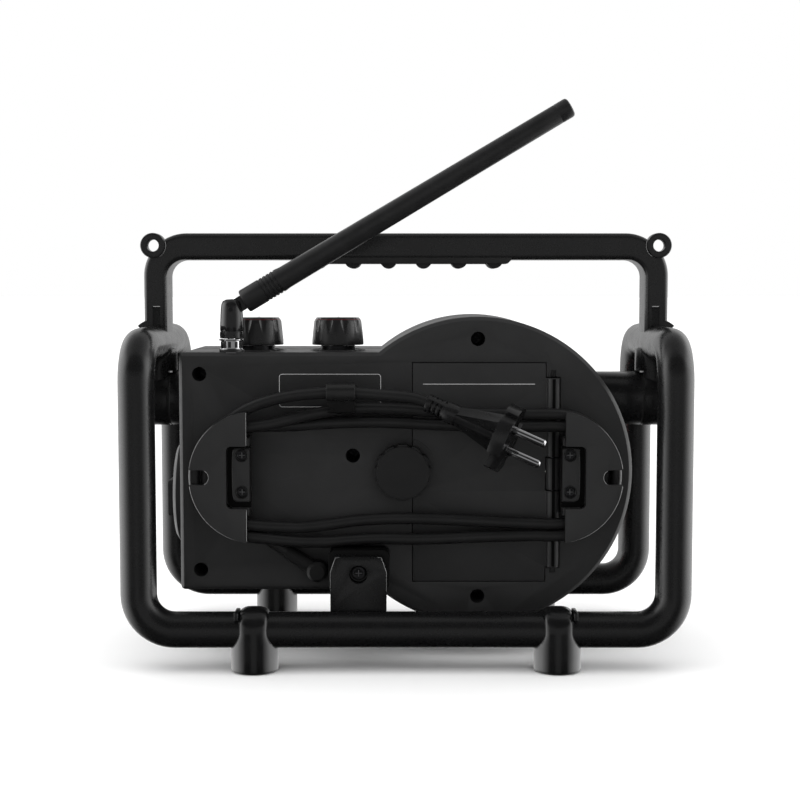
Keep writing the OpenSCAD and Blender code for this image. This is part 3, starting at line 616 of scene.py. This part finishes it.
route += [(-72, 55.5, 72.4), (-58, 54.8, 72.0), (-40, 54.4, 71.4), (-22, 54.4, 70.6), (-4, 54.4, 70.2), (14, 54.4, 70.4), (30, 54.5, 69.7), (44, 55.4, 68.8), (58, 57.4, 69.2), (70, 59.4, 70.4), (78, 60.0, 71.4)]
route += half_turn(83.5, 34.7, 34.4, 60.1, 60.1, -84, 62, 13)[1:]
route += [(91.5, 60.1, 142.4), (83, 60.5, 146.4), (74, 61.2, 149.3), (62, 62.4, 151.7), (48, 63.4, 153.1),
          (36, 64.1, 153.6), (24, 64.2, 152.9), (12, 64.2, 151.9), (3, 64.05, 151.15), (-0.63, 64.03, 150.83), (-6.43, 64.41, 149.86), (-11.92, 65.53, 148.0)]
route = [mv(*p) for p in route]
line = catmull(route)
cu = bpy.data.curves.new("mains_lead", "CURVE")
cu.dimensions = "3D"
sp = cu.splines.new("POLY")
sp.points.add(len(line) - 1)
for i, p in enumerate(line):
    sp.points[i].co = (*p, 1)
cu.bevel_depth = CORD_D / 2 * MM
cu.bevel_resolution = 7
cu.use_fill_caps = True
cu.twist_mode = "MINIMUM"
cu.materials.append(M["lead_rubber"])
lead = link(bpy.data.objects.new("mains_lead", cu))
for sp_ in cu.splines:
    sp_.use_smooth = True


# ------------------------------------------------------------------ frame tubes
def hoop_points(s, d):
    """The right side hoop's line, mirrored by s = -1: from the rear rail's end over the top to the front rail's end."""
    fx, fy, zr, zt, rl, rt = 147.5, 73.4, 22.8, 179, 20, 20
    pts = [mv(fx - rl - d, fy, zr)]
    pts += arc(mv(fx - rl, fy, zr + rl), rl * MM, -90, 0, 14, (1, 0, 0), (0, 0, 1))
    for z in np.linspace(zr + rl, zt - rt, 14)[1:-1]:
        pts.append(mv(fx, fy, float(z)))
    pts += arc(mv(fx, fy - rt, zt - rt), rt * MM, 0, 90, 16, (0, 1, 0), (0, 0, 1))
    for y in np.linspace(fy - rt, -fy + rt, 8)[1:-1]:
        pts.append(mv(fx, float(y), zt))
    pts += arc(mv(fx, -fy + rt, zt - rt), rt * MM, 90, 180, 16, (0, 1, 0), (0, 0, 1))
    for z in np.linspace(zt - rt, zr + rl, 14)[1:-1]:
        pts.append(mv(fx, -fy, float(z)))
    pts += arc(mv(fx - rl, -fy, zr + rl), rl * MM, 0, -90, 14, (1, 0, 0), (0, 0, 1))
    pts += [mv(fx - rl - d, -fy, zr)]
    return [Vector((s * p.x, p.y, p.z)) for p in pts]


for s, node in ((1, "right_hoop"), (-1, "left_hoop")):
    o = tube(node + "_tube", hoop_points(s, 0.01), 0.010, "frame_tube", seg=40)
    settle(o, node)
for y, node in ((73.4, "rear_rail"), (-73.4, "front_rail")):
    o = tube(node + "_tube", [mv(float(x), y, 22.8) for x in np.linspace(-127.5, 127.5, 24)], 0.010, "frame_tube", seg=40)
    settle(o, node)

# ------------------------------------------------------------------ plain CAD copies with broken edges
for node, w, seg in (
    ("rear_shell", 0.0005, 2), ("front_shell", 0.0005, 2), ("battery_door", 0.0003, 2), ("latch_knob", 0.0006, 3),
    ("cord_guard_left", 0.0007, 3), ("cord_guard_right", 0.0007, 3), ("handle_grip", 0.0005, 2),
    ("side_hanger_left", 0.0006, 2), ("side_hanger_right", 0.0006, 2), ("side_stub_left", 0.0004, 2), ("side_stub_right", 0.0004, 2),
    ("bottom_bracket", 0.0004, 2), ("bracket_damper", 0.0006, 2), ("front_panel", 0.0005, 3), ("grille_ring", 0.0006, 3),
    ("volume_knob", 0.0010, 3), ("tuning_knob", 0.0010, 3), ("port_pod", 0.0006, 2), ("port_cover", 0.0006, 3),
    ("plug_body", 0.0005, 3), ("plug_pins", 0.0003, 2), ("cord_gland", 0.0006, 3), ("guard_screws", 0.0002, 2),
    ("case_screws", 0.0002, 2), ("frame_bolts", 0.0002, 2),
):
    cad_copy(node, node + "_body", w, seg, mat={"plug_body": "plug_gloss", "latch_knob": "latch_plastic", "bracket_damper": "damper_rubber_and_shade", "cord_gland": "gland_black"}.get(node))

# ------------------------------------------------------------------ extra pieces that aren't CAD nodes of their own
def extra(o, body):
    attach(o, body)
    return o


def block(name, lo, hi, mat, bevel=0.0003, seg=2):
    """A box between two corners (mm) with broken edges."""
    a, b = mv(*lo), mv(*hi)
    verts = [(x, y, z) for x in (a.x, b.x) for y in (a.y, b.y) for z in (a.z, b.z)]
    faces = [(0, 1, 3, 2), (4, 6, 7, 5), (0, 4, 5, 1), (2, 3, 7, 6), (0, 2, 6, 4), (1, 5, 7, 3)]
    o = new_mesh(name, verts, faces, mat, smooth=False)
    return bevelled(o, bevel, seg) if bevel else o


def ring_bead(name, c, axis, R, r, mat, seg=72, sides=10, a0=0, a1=360):
    """A bead of radius r on a circle of radius R about an axis, all of it or from a0 to a1 degrees."""
    full = abs(a1 - a0) >= 360
    axis = Vector(axis).normalized()
    u = axis.orthogonal().normalized() if abs(axis.y) < 0.9 else Vector((1, 0, 0))
    w = axis.cross(u)
    verts, faces = [], []
    n = seg if full else seg + 1
    for i in range(n):
        t = rad(a0 + (a1 - a0) * i / seg)
        d = u * math.cos(t) + w * math.sin(t)
        for k in range(sides):
            a = TAU * k / sides
            verts.append(mv(*c) + d * ((R + r * math.cos(a)) * MM) + axis * (r * math.sin(a) * MM))
    for i in range(seg):
        j = (i + 1) % n
        for k in range(sides):
            faces.append((i * sides + k, i * sides + (k + 1) % sides, j * sides + (k + 1) % sides, j * sides + k))
    if not full:
        faces.append(tuple(range(sides)))
        faces.append(tuple(range((n - 1) * sides, n * sides)))
    return new_mesh(name, verts, faces, mat)


def Lm(profile):
    return [(r * MM, z * MM) for r, z in profile]


# ------------------------------------------------------------------ feet: a bell boot round the rail
def boot(node, cx, cy):
    """A round foot that narrows to a 17 mm wide saddle over the rail."""
    rings = [(0.0, 11.4, None, 1), (0.25, 12.1, None, 1), (0.9, 12.8, None, 1), (1.8, 13.0, None, 1), (8, 13.0, None, 1), (14.2, 13.0, None, 1), (15.6, 13.0, 13.0, 1)]
    for k in range(1, 11):
        t = k / 10
        rings.append((15.6 + 7.2 * t, 13.0, 8.8 + 5.2 * (1 - t) ** 1.8, 1))
    for k in range(1, 17):
        z = 22.8 + 12.95 * math.sin(rad(90 * k / 16))
        fy = math.sqrt(max(0.0, 1 - ((z - 22.8) / 13.0) ** 2))
        q = max(0.0, (z - 30.2) / 5.6)
        rings.append((z, 13.0, 8.8 * max(0.05, math.sqrt(max(0.0, 1 - q ** 2.4))), max(fy, 0.03)))
    seg = 72
    verts, faces = [], []
    for z, r, ax, fy in rings:
        for k in range(seg):
            a = TAU * k / seg
            rr = r if ax is None else (r ** -9 + (ax / max(abs(math.cos(a)), 1e-4)) ** -9) ** (-1 / 9)
            verts.append(mv(cx + rr * math.cos(a), cy + rr * math.sin(a) * fy, z))
    m = len(rings)
    for i in range(m - 1):
        for k in range(seg):
            faces.append((i * seg + k, i * seg + (k + 1) % seg, (i + 1) * seg + (k + 1) % seg, (i + 1) * seg + k))
    faces.append(tuple(range(seg)))
    faces.append(tuple(range((m - 1) * seg, m * seg)))
    o = new_mesh(node + "_bell", verts, faces, "foot_boot")
    smooth_by_angle(o.data, 60)
    out = 1 if cx > 0 else -1
    back = 1 if cy > 0 else -1
    tab = block(node + "_tab", (min(cx + out * 8.0, cx + out * 10.4), min(cy + back * -4, cy + back * 10.2), 29.4),
                (max(cx + out * 8.0, cx + out * 10.4), max(cy + back * -4, cy + back * 10.2), 34.2), "foot_boot", 0.0006, 3)
    lip = ring_bead(node + "_lip", (cx, cy, 0.9), (0, 0, 1), 12.7, 0.25, "foot_boot")
    return settle(joined(node + "_boot", [o, tab, lip]), node)


for node, cx, cy in (("foot_rear_left", -83.7, 73.4), ("foot_rear_right", 83.7, 73.4), ("foot_front_left", -83.7, -73.4), ("foot_front_right", 83.7, -73.4)):
    boot(node, cx, cy)

# ------------------------------------------------------------------ handle
def mirror2(pts):
    return [Vector((-p.x, p.y)) for p in reversed(pts)]


HY = 12.4
corner = rounded([(-153.3, 180.5), (-153.3, 243), (153.3, 243), (153.3, 180.5), (139.6, 180.5), (139.6, 227.5), (-139.6, 227.5), (-139.6, 180.5)],
                 [0, 25, 25, 0, 0, 10, 10, 0], 20)
corner = [(p.x * MM, p.y * MM) for p in corner]
bar = plate("handle_bar", [corner], -HY * MM, HY * MM, "Y", "handle_plastic", bevel=0.0032, res=7)
parts = []
for s in (-1, 1):
    cut = block("cut", (s * 145.8 - 2.3, HY - 0.7, 176.0), (s * 145.8 + 2.3, HY + 1, 200.5), "handle_plastic", 0.0003)
    boolean(bar, cut)
    # a light line along the top of the strap slot: a painted highlight
    parts.append(tube("slot_painted_highlight", [mv(s * 145.8 - 2.0, HY - 0.22, 200.35), mv(s * 145.8 + 2.0, HY - 0.22, 200.35)], 0.0003, "painted_highlight_line", seg=10))
    # a light arc beside the eyelet: a painted highlight
    arc_line = []
    for k in range(17):
        a = rad(238 - 92 * k / 16) if s > 0 else rad(-58 + 92 * k / 16)
        arc_line.append(mv(s * 147.5 + 7.5 * math.cos(a), HY - 0.03, 235.8 + 7.5 * math.sin(a)))
    parts.append(tube("ear_painted_highlight", arc_line, 0.00013, "painted_highlight_line", seg=8))
    # cap over the frame tube
    loop = []
    for k in range(25):
        a = rad(46 + (78 - 46) * k / 24)
        loop.append((s * (147.5 + 13.9 * math.cos(a)) * MM, (179 + 13.9 * math.sin(a)) * MM))
    for k in range(25):
        a = rad(78 - (78 - 46) * k / 24)
        loop.append((s * (147.5 + 9.6 * math.cos(a)) * MM, (179 + 9.6 * math.sin(a)) * MM))
    parts.append(plate("cap", [loop], -HY * MM, HY * MM, "Y", "handle_plastic", bevel=0.0010, res=3))
    # strap eyelet: a proud ring with a through hole
    ring = lathe("eye", Lm([(3.5, 6.2), (3.5, 13.2), (3.75, 13.65), (4.2, 13.8), (6.4, 13.8), (6.95, 13.6), (7.3, 13.0), (7.3, 6.8), (6.9, 6.2), (3.5, 6.2)]),
                 "handle_plastic", 64, mv(s * 147.5, 0, 235.8), Matrix.Rotation(rad(-90), 4, "X"))
    hole = lathe("hole", Lm([(0, -20), (3.5, -20), (3.5, 20), (0, 20)]), "handle_plastic", 48, mv(s * 147.5, 0, 235.8), Matrix.Rotation(rad(-90), 4, "X"))
    boolean(bar, hole)
    parts.append(ring)
smooth_by_angle(bar.data, 35)
settle(joined("carry_handle", [bar] + parts), "handle_frame")

# ------------------------------------------------------------------ antenna
AX, AY, AZ = 98.6, 40.4, 199.2
sock = lathe("antenna_thread", Lm([(0, 174.6), (6.9, 174.6), (6.9, 176.4), (6.6, 176.9), (6.15, 177.1), (6.15, 181.3), (7.1, 181.5), (7.35, 181.8),
                                   (7.35, 182.2), (7.1, 182.45), (2.45, 182.5), (2.45, 187.9), (0, 188)]), "pin_chrome", 72, mv(AX, AY, 0))
slots = []
for k in range(10):
    b = block("s%d" % k, (6.0, -0.85, 177.5), (6.32, 0.85, 180.9), "antenna_rubber", 0.00008)
    b.data.transform(Matrix.Translation(mv(AX, AY, 0)) @ Matrix.Rotation(rad(36 * k + 11), 4, "Z"))
    slots.append(b)
foot_ring = lathe("fr", Lm([(5.6, 174.7), (7.15, 174.8), (7.2, 176.2), (6.9, 176.7), (5.6, 176.9)]), "antenna_rubber", 64, mv(AX, AY, 0))
settle(joined("antenna_ring", [sock, foot_ring] + slots), "antenna_socket")
base = lathe("antenna_bell", Lm([(2.5, 182.8), (6.5, 182.8), (6.8, 183.1), (6.8, 186.3), (6.55, 186.6), (6.55, 187.0), (6.75, 187.3), (6.7, 190), (6.45, 196), (6.2, 200),
                                 (5.9, 202.0), (5.2, 203.6), (3.9, 204.6), (2.0, 204.9), (0, 204.9)]), "antenna_gloss", 72, mv(AX, AY, 0))
slot_cut = block("cut", (AX - 10, AY - 2.2, AZ - 4.8), (AX + 4.6, AY + 2.2, AZ + 12), "antenna_gloss", 0.0003)
boolean(base, slot_cut)
smooth_by_angle(base.data, 35)
notches = []
for k in range(8):
    b = block("n%d" % k, (6.7, -0.7, 184.0), (6.9, 0.7, 185.6), "antenna_rubber", 0.00005)
    b.data.transform(Matrix.Translation(mv(AX, AY, 0)) @ Matrix.Rotation(rad(45 * k + 20), 4, "Z"))
    notches.append(b)
settle(joined("antenna_sleeve", [base] + notches), "antenna_base")
pin = lathe("antenna_rivet", Lm([(0, -6.4), (1.2, -6.35), (1.35, -6.0), (1.35, 6.2), (1.2, 6.5), (0, 6.6)]), "screw_steel", 32, mv(AX, AY, AZ), Matrix.Rotation(rad(-90), 4, "X"))
settle(pin, "antenna_pin")
WH = Matrix.Rotation(rad(-90 + 30.7), 4, "Y")
prof = [(0, 8.3), (6.1, 8.3), (6.55, 8.6), (6.8, 9.2), (6.8, 20.6)]
for k in range(5):
    z = 20.8 + 2.3 * k
    prof += [(6.78, z), (6.38, z + 0.2), (6.35, z + 0.8), (6.75, z + 1.0), (6.8, z + 2.1)]
prof += [(6.7, 33.0), (6.45, 35), (6.3, 60), (6.1, 110), (5.85, 165), (5.68, 213.4), (5.6, 213.7), (5.6, 214.1), (5.7, 214.4), (5.7, 220.2), (5.45, 221.2), (4.8, 221.8), (0, 221.95)]
rod = lathe("rod", Lm(prof), "antenna_rubber", 64, mv(AX, AY, AZ), WH, smooth=28)
tongue = [(4.15 * math.cos(rad(a)) * MM, 4.15 * math.sin(rad(a)) * MM) for a in range(180, 361, 12)] + [(4.15 * MM, 12 * MM), (-4.15 * MM, 12 * MM)]
tg = plate("tongue", [tongue], -0.0020, 0.0020, "Y", "antenna_rubber", bevel=0.0004)
tg.data.transform(Matrix.Translation(mv(AX, AY, AZ)) @ WH)
settle(joined("antenna_rod", [rod, tg]), "antenna_whip")

# ------------------------------------------------------------------ cable clip: one moulded band round the lead, its tail down to the shell
clip_out = rounded([(59.2, 148.6), (69.4, 148.6), (69.4, 158.4), (59.2, 158.4)], 4.4, 10)
clip_hole = [(64.0 + 3.3 * math.cos(TAU * k / 40), 153.5 + 3.3 * math.sin(TAU * k / 40)) for k in range(40)]
band_o = plate("clip_band", [[(p.x * MM, p.y * MM) for p in clip_out], [(a * MM, b * MM) for a, b in clip_hole]], 0.028, 0.044, "X", "clip_plastic", bevel=0.0003, res=2)
tail = rounded([(50.2, 147.5), (50.2, 143.2), (57.4, 141.0), (61.5, 142.4), (66.6, 149.6), (62.6, 152.2), (57.8, 147.3)], 1.2, 6)
tail_o = plate("clip_tail", [[(p.x * MM, p.y * MM) for p in tail]], 0.0285, 0.0435, "X", "clip_plastic", bevel=0.0003, res=2)
settle(joined("lead_clip", [band_o, tail_o]), "cable_clip")

# ------------------------------------------------------------------ printed lines: a bare rounded label frame and a rule on the battery door
def outline_print(name, x0, x1, z0, z1, r, t, y, body):
    a = rounded([(x0, z0), (x1, z0), (x1, z1), (x0, z1)], r, 8)
    b = rounded([(x0 + t, z0 + t), (x1 - t, z0 + t), (x1 - t, z1 - t), (x0 + t, z1 - t)], r - t, 8)
    o = plate(name, [[(p.x * MM, p.y * MM) for p in a], [(p.x * MM, p.y * MM) for p in b]], y * MM, (y + 0.05) * MM, "Y", "print_white", bevel=0.0)
    return extra(o, body)


outline_print("label_frame", 14.1, 71.4, 144.2, 162.9, 1.8, 0.26, 48.41, "case")
rule = block("door_rule_line", (-72.6, 48.41, 157.0), (-9.6, 48.46, 157.34), "print_white", 0.00001, 1)
extra(rule, "door")

# ------------------------------------------------------------------ small things on the back
for s in (-1, 1):
    for z in (97.6, 118.2):
        side_name = "left" if s < 0 else "right"
        o = ring_bead("guard_screw_ring_%s_%d" % (side_name, int(z)), (s * 91.4, 61.5, z), (0, 1, 0), 3.3, 0.36, "plug_gloss", 56, 10)
        extra(o, "case")
        # a lighter metal cross and ring on each screw head: painted glints in the cross recess
        a = block("cross_a", (s * 91.4 - 1.7, 60.1, z - 0.33), (s * 91.4 + 1.7, 60.18, z + 0.33), "screw_painted_glint", 0.00003, 1)
        b = block("cross_b", (s * 91.4 - 0.33, 60.1, z - 1.7), (s * 91.4 + 0.33, 60.19, z + 1.7), "screw_painted_glint", 0.00003, 1)
        spot = ring_bead("cross_ring", (s * 91.4, 60.16, z), (0, 1, 0), 2.45, 0.14, "screw_painted_glint", 48, 8)
        extra(joined("guard_screw_cross_%s_%d" % (side_name, int(z)), [a, b, spot]), "case")
for s in (-1, 1):
    # a thin black sheet round each screw block, open towards the middle: painted shade for the recess; and a glossy
    # bead along its raised edge
    side_name = "left" if s < 0 else "right"
    ring_o = rounded([(86.4, 89.2), (99.5, 89.2), (99.5, 123.7), (86.4, 123.7), (86.4, 122.1), (96.5, 122.1), (96.5, 92.4), (86.4, 92.4)], [0.2, 4.2, 3.4, 0.2, 0.2, 1.2, 2.6, 0.2], 8)
    o = plate("guard_painted_shade_" + side_name, [[(s * p.x * MM, p.y * MM) for p in ring_o]], 61.42 * MM, 61.52 * MM, "Y", "painted_shade_black", bevel=0.0)
    extra(o, "case")
    lip_line = [(87.2, 122.0), (95.4, 122.0), (96.1, 121.7), (96.4, 121.0), (96.4, 95.0), (95.7, 93.3), (94.0, 92.5), (87.2, 92.5)]
    lip_line = [mv(s * x, 61.5, z) for x, z in lip_line]
    o = tube("guard_lip_" + side_name, catmull(lip_line, 0.0009), 0.00034, "plug_gloss", seg=12)
    extra(o, "case")
def rim_highlight_line(name, s, cx, cz, R, y, a0, a1, r0, r1):
    """A fine light line on a guard's rim, a painted highlight. Angles in degrees from the outward direction."""
    line = [mv(s * (cx + R * math.cos(rad(a0 + (a1 - a0) * k / 40))), y, cz + R * math.sin(rad(a0 + (a1 - a0) * k / 40))) for k in range(41)]
    o = tube(name, line, r0 * MM, "painted_highlight_line", seg=8, radii=[(r0 + (r1 - r0) * k / 40) * MM for k in range(41)])
    return extra(o, "case")


# light lines along the guards' rims and notches: painted highlights
rim_highlight_line("guard_edge_left_up", -1, 83.5, 106.5, 36.63, 67.55, 7.6, 52, 0.15, 0.05)
rim_highlight_line("guard_edge_left_low", -1, 83.5, 106.5, 36.63, 67.55, -7.6, -78, 0.15, 0.05)
rim_highlight_line("guard_edge_right_low", 1, 83.5, 106.5, 36.63, 67.55, -7.6, -76, 0.15, 0.05)
rim_highlight_line("guard_notch_edge_left", -1, 113.6, 106.5, 4.32, 67.56, 120, 236, 0.11, 0.11)
rim_highlight_line("guard_notch_edge_right", 1, 113.6, 106.5, 4.32, 67.56, 120, 240, 0.11, 0.11)
for k, s in enumerate((-1, 1)):
    # light lines on the bracket's corners: painted highlights
    edge_pts = [(15.5, 44.0), (15.5, 54.8), (14.6, 57.4), (13.7, 60.0), (12.6, 62.9), (10.5, 63.1)]
    edge_pts = [mv(26.3 + s * x, 73.36, z) for x, z in edge_pts]
    o = tube("bracket_edge_%d" % k, edge_pts, 0.00010, "painted_highlight_line", seg=8, radii=[0.00004, 0.00010, 0.00012, 0.00012, 0.00009, 0.00004])
    extra(o, "case")
# a lighter metal cross and ring on the bracket bolt: painted glints
a = block("cross_a", (26.3 - 1.9, 68.56, 53.4 - 0.28), (26.3 + 1.9, 68.68, 53.4 + 0.28), "screw_painted_glint", 0.00003, 1)
b = block("cross_b", (26.3 - 0.28, 68.56, 53.4 - 1.9), (26.3 + 0.28, 68.69, 53.4 + 1.9), "screw_painted_glint", 0.00003, 1)
spot = ring_bead("cross_ring", (26.3, 69.38, 53.4), (0, 1, 0), 2.9, 0.12, "screw_painted_glint", 48, 8)
extra(joined("bracket_bolt_cross", [a, b, spot]), "case")
# light lines on the guards' inner edges: painted highlights
for k, (z0, z1) in enumerate(((71.0, 88.6), (124.2, 142.4))):
    o = tube("guard_edge_inner_%d" % k, [mv(88.36, 67.56, z0), mv(88.36, 67.56, z1)], 0.00010, "painted_highlight_line", seg=8)
    extra(o, "case")
for k, (z0, z1, body, slot) in enumerate(((54.0, 96.8, "door", "trim_plastic"), (97.6, 115.4, "case", "case_plastic"), (116.2, 160.2, "door", "trim_plastic"))):
    # a black strip along the crest of the hinge barrel: painted shade for the barrel's dark middle
    o = block("hinge_gap_%d" % k, (-83.85, 51.6, z0), (-82.15, 52.16, z1), "painted_shade_black", 0.00003, 1)
    extra(o, body)
o = ring_bead("latch_travel_mark", (1.8, 48.42, 107.8), (0, 1, 0), 19.2, 0.16, "case_plastic", 40, 8, 205 - 360, 262 - 360)
extra(o, "case")
o = ring_bead("latch_rim", (1.8, 55.6, 107.8), (0, 1, 0), 12.9, 0.18, "trim_plastic", 72, 8)
extra(o, "latch")

# ------------------------------------------------------------------ knobs: red line, dial ticks
for i, (kx, body, node) in enumerate(((86.6, "volume", "volume_knob"), (39.8, "tuning", "tuning_knob"))):
    o = ring_bead(node + "_red_line", (kx, 13.4, 192.9), (0, 0, 1), 13.0, 0.24, "red_line", 72, 10)
    extra(o, body)
    mark = block(node + "_pointer", (kx - 0.55, 13.4 - 11.8, 194.0), (kx + 0.55, 13.4 - 6.0, 194.25), "print_white", 0.00008, 1)
    extra(mark, body)
    ticks = []
    for k in range(25):
        a = rad(-150 + 300 * k / 24 - 90)
        big = k % 4 == 0
        t = block("t", (17.2, -0.22, 175.0), (19.4 if big else 18.4, 0.22, 175.06), "print_white", 0.00001, 1)
        t.data.transform(Matrix.Translation(mv(kx, 13.4, 0)) @ Matrix.Rotation(a, 4, "Z"))
        ticks.append(t)
    o = joined(node + "_dial", ticks)
    extra(o, "case")
    o = ring_bead(node + "_seat", (kx, 13.4, 175.1), (0, 0, 1), 15.6, 0.45, "case_plastic", 72, 8)
    extra(o, "case")

# ------------------------------------------------------------------ front: digits behind the lens, badge-free fascia details
SEG = {"0": "abcdef", "1": "bc", "2": "abdeg", "3": "abcdg", "5": "acdfg", "8": "abcdefg", "9": "abcdfg", "6": "acdefg"}


def seven(name, ch, x, z, w, h, y, mat):
    """A seven-segment digit facing the front. x, z: its lower right corner as seen from behind."""
    t = w * 0.17
    boxes = {"a": (0.12, h - t, w - 0.12, h), "g": (0.12, h / 2 - t / 2, w - 0.12, h / 2 + t / 2), "d": (0.12, 0, w - 0.12, t),
             "f": (0, h / 2 + 0.1, t, h - 0.12), "b": (w - t, h / 2 + 0.1, w, h - 0.12), "e": (0, 0.12, t, h / 2 - 0.1), "c": (w - t, 0.12, w, h / 2 - 0.1)}
    out = []
    for k in SEG[ch]:
        a, b, c, d = boxes[k]
        out.append(block(name + k, (x + a, y, z + b), (x + c, y + 0.05, z + d), mat, 0.00001, 1))
    return out


digits = []
for k, ch in enumerate("1023"):
    digits += seven("d%d" % k, ch, 60 + k * 9.6 + (2.6 if k == 3 else 0), 134, 7.2, 13, -49.75, "lcd_ink")
digits.append(block("dot", (87.4, -49.75, 134), (88.8, -49.70, 135.4), "lcd_ink", 0.00001, 1))
for k in range(6):
    digits.append(block("bar%d" % k, (60 + k * 3.1, -49.75, 128.6), (62.2 + k * 3.1, -49.70, 128.6 + 0.9 + k * 0.5), "lcd_ink", 0.00001, 1))
o = joined("display_segments", digits)
extra(o, "case")

# ------------------------------------------------------------------ stage
def studio_ramp(ns, ln, source):
    """The studio walls' brightness, from 0 = behind the radio to 1 = towards the viewer."""
    mr = ns.new("ShaderNodeMapRange")
    mr.inputs["From Min"].default_value = -1
    mr.inputs["From Max"].default_value = 1
    ln.new(source, mr.inputs["Value"])
    ramp = ns.new("ShaderNodeValToRGB")
    ln.new(mr.outputs["Result"], ramp.inputs["Fac"])
    cr = ramp.color_ramp
    cr.elements[0].position = 0.0
    cr.elements[0].color = (0.65, 0.65, 0.65, 1)
    cr.elements[1].position = 1.0
    cr.elements[1].color = (0.27, 0.27, 0.27, 1)
    for pos, v in ((0.03, 0.85), (0.12, 1.6), (0.30, 2.7), (0.51, 3.0), (0.638, 2.0), (0.75, 1.0), (0.84, 0.42), (0.87, 0.27)):
        e = cr.elements.new(pos)
        e.color = (v, v, v, 1)
    return ramp.outputs["Color"]


def smoothstep(ns, ln, source, a, b, lo=0.0, hi=1.0):
    r = ns.new("ShaderNodeMapRange")
    r.interpolation_type = "SMOOTHSTEP"
    r.inputs["From Min"].default_value = a
    r.inputs["From Max"].default_value = b
    r.inputs["To Min"].default_value = lo
    r.inputs["To Max"].default_value = hi
    ln.new(source, r.inputs["Value"])
    return r.outputs["Result"]


def mixed(ns, ln, factor, a, b):
    m = ns.new("ShaderNodeMix")
    m.data_type = "RGBA"
    ln.new(factor, m.inputs["Factor"])
    for key, v in (("A", a), ("B", b)):
        if isinstance(v, (int, float)):
            m.inputs[key].default_value = (v, v, v, 1)
        else:
            ln.new(v, m.inputs[key])
    return m.outputs["Result"]


floor = bpy.data.meshes.new("floor")
floor.from_pydata([(-30, -30, 0), (30, -30, 0), (30, 30, 0), (-30, 30, 0)], [], [(0, 1, 2, 3)])
fo = link(bpy.data.objects.new("floor", floor))
fm = bpy.data.materials.new("floor_paper")
nt, ns, ln, p = nodes_of(fm)
p.inputs["Base Color"].default_value = (0.86, 0.86, 0.86, 1)
p.inputs["Roughness"].default_value = 0.6
p.inputs["Specular IOR Level"].default_value = 0.2
tone = ns.new("ShaderNodeTexNoise")
tone.inputs["Scale"].default_value = 900
tone.inputs["Detail"].default_value = 2
paper = ns.new("ShaderNodeBump")
paper.inputs["Strength"].default_value = 0.05
paper.inputs["Distance"].default_value = 0.00005
ln.new(tone.outputs["Fac"], paper.inputs["Height"])
ln.new(paper.outputs["Normal"], p.inputs["Normal"])
floor.materials.append(fm)
fo.visible_glossy = False

w = bpy.data.worlds.new("studio")
SC.world = w
w.use_nodes = True
nt = w.node_tree
ns, ln = nt.nodes, nt.links
bg = ns["Background"]
tc = ns.new("ShaderNodeTexCoord")
sx = ns.new("ShaderNodeSeparateXYZ")
ln.new(tc.outputs["Generated"], sx.inputs[0])
walls = studio_ramp(ns, ln, sx.outputs["Y"])


def product(ns, ln, *values):
    out = values[0]
    for v in values[1:]:
        m = ns.new("ShaderNodeMath")
        m.operation = "MULTIPLY"
        ln.new(out, m.inputs[0])
        ln.new(v, m.inputs[1])
        out = m.outputs["Value"]
    return out


side = ns.new("ShaderNodeMath")
side.operation = "ABSOLUTE"
ln.new(sx.outputs["X"], side.inputs[0])
# nothing lit under the table, a calmer ceiling, a darker band over the viewer's head and two dark gaps low in front
walls = mixed(ns, ln, smoothstep(ns, ln, sx.outputs["Z"], -0.85, -0.25), 0.0, walls)
walls = mixed(ns, ln, smoothstep(ns, ln, sx.outputs["Z"], 0.38, 0.80), walls, 0.55)
walls = mixed(ns, ln, product(ns, ln, smoothstep(ns, ln, sx.outputs["Z"], 0.18, 0.45), smoothstep(ns, ln, sx.outputs["Y"], 0.25, 0.50)), walls, 0.03)
walls = mixed(ns, ln, product(ns, ln, smoothstep(ns, ln, sx.outputs["Z"], -0.13, -0.23), smoothstep(ns, ln, sx.outputs["Y"], 0.1, 0.3),
                              smoothstep(ns, ln, side.outputs["Value"], 0.13, 0.30), smoothstep(ns, ln, side.outputs["Value"], 0.80, 0.62)), walls, 0.02)
sky = mixed(ns, ln, smoothstep(ns, ln, sx.outputs["Z"], 0.84, 0.96), walls, 0.30)
lp = ns.new("ShaderNodeLightPath")
# matt surfaces and the table get a rounder light than what the gloss mirrors
matt = mixed(ns, ln, lp.outputs["Is Diffuse Ray"], sky, 1.08)
ln.new(mixed(ns, ln, lp.outputs["Is Camera Ray"], matt, 1.0), bg.inputs["Color"])
bg.inputs["Strength"].default_value = 1.0

sun = bpy.data.lights.new("overhead", "SUN")
sun.energy = 1.6
sun.angle = rad(75)
so = link(bpy.data.objects.new("overhead", sun))
so.rotation_euler = (rad(-8), rad(6), 0)
so.visible_glossy = False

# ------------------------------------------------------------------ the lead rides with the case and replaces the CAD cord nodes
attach(lead, "case")
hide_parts("cord_lead_in", "cord_hank", "cord_lead_out")
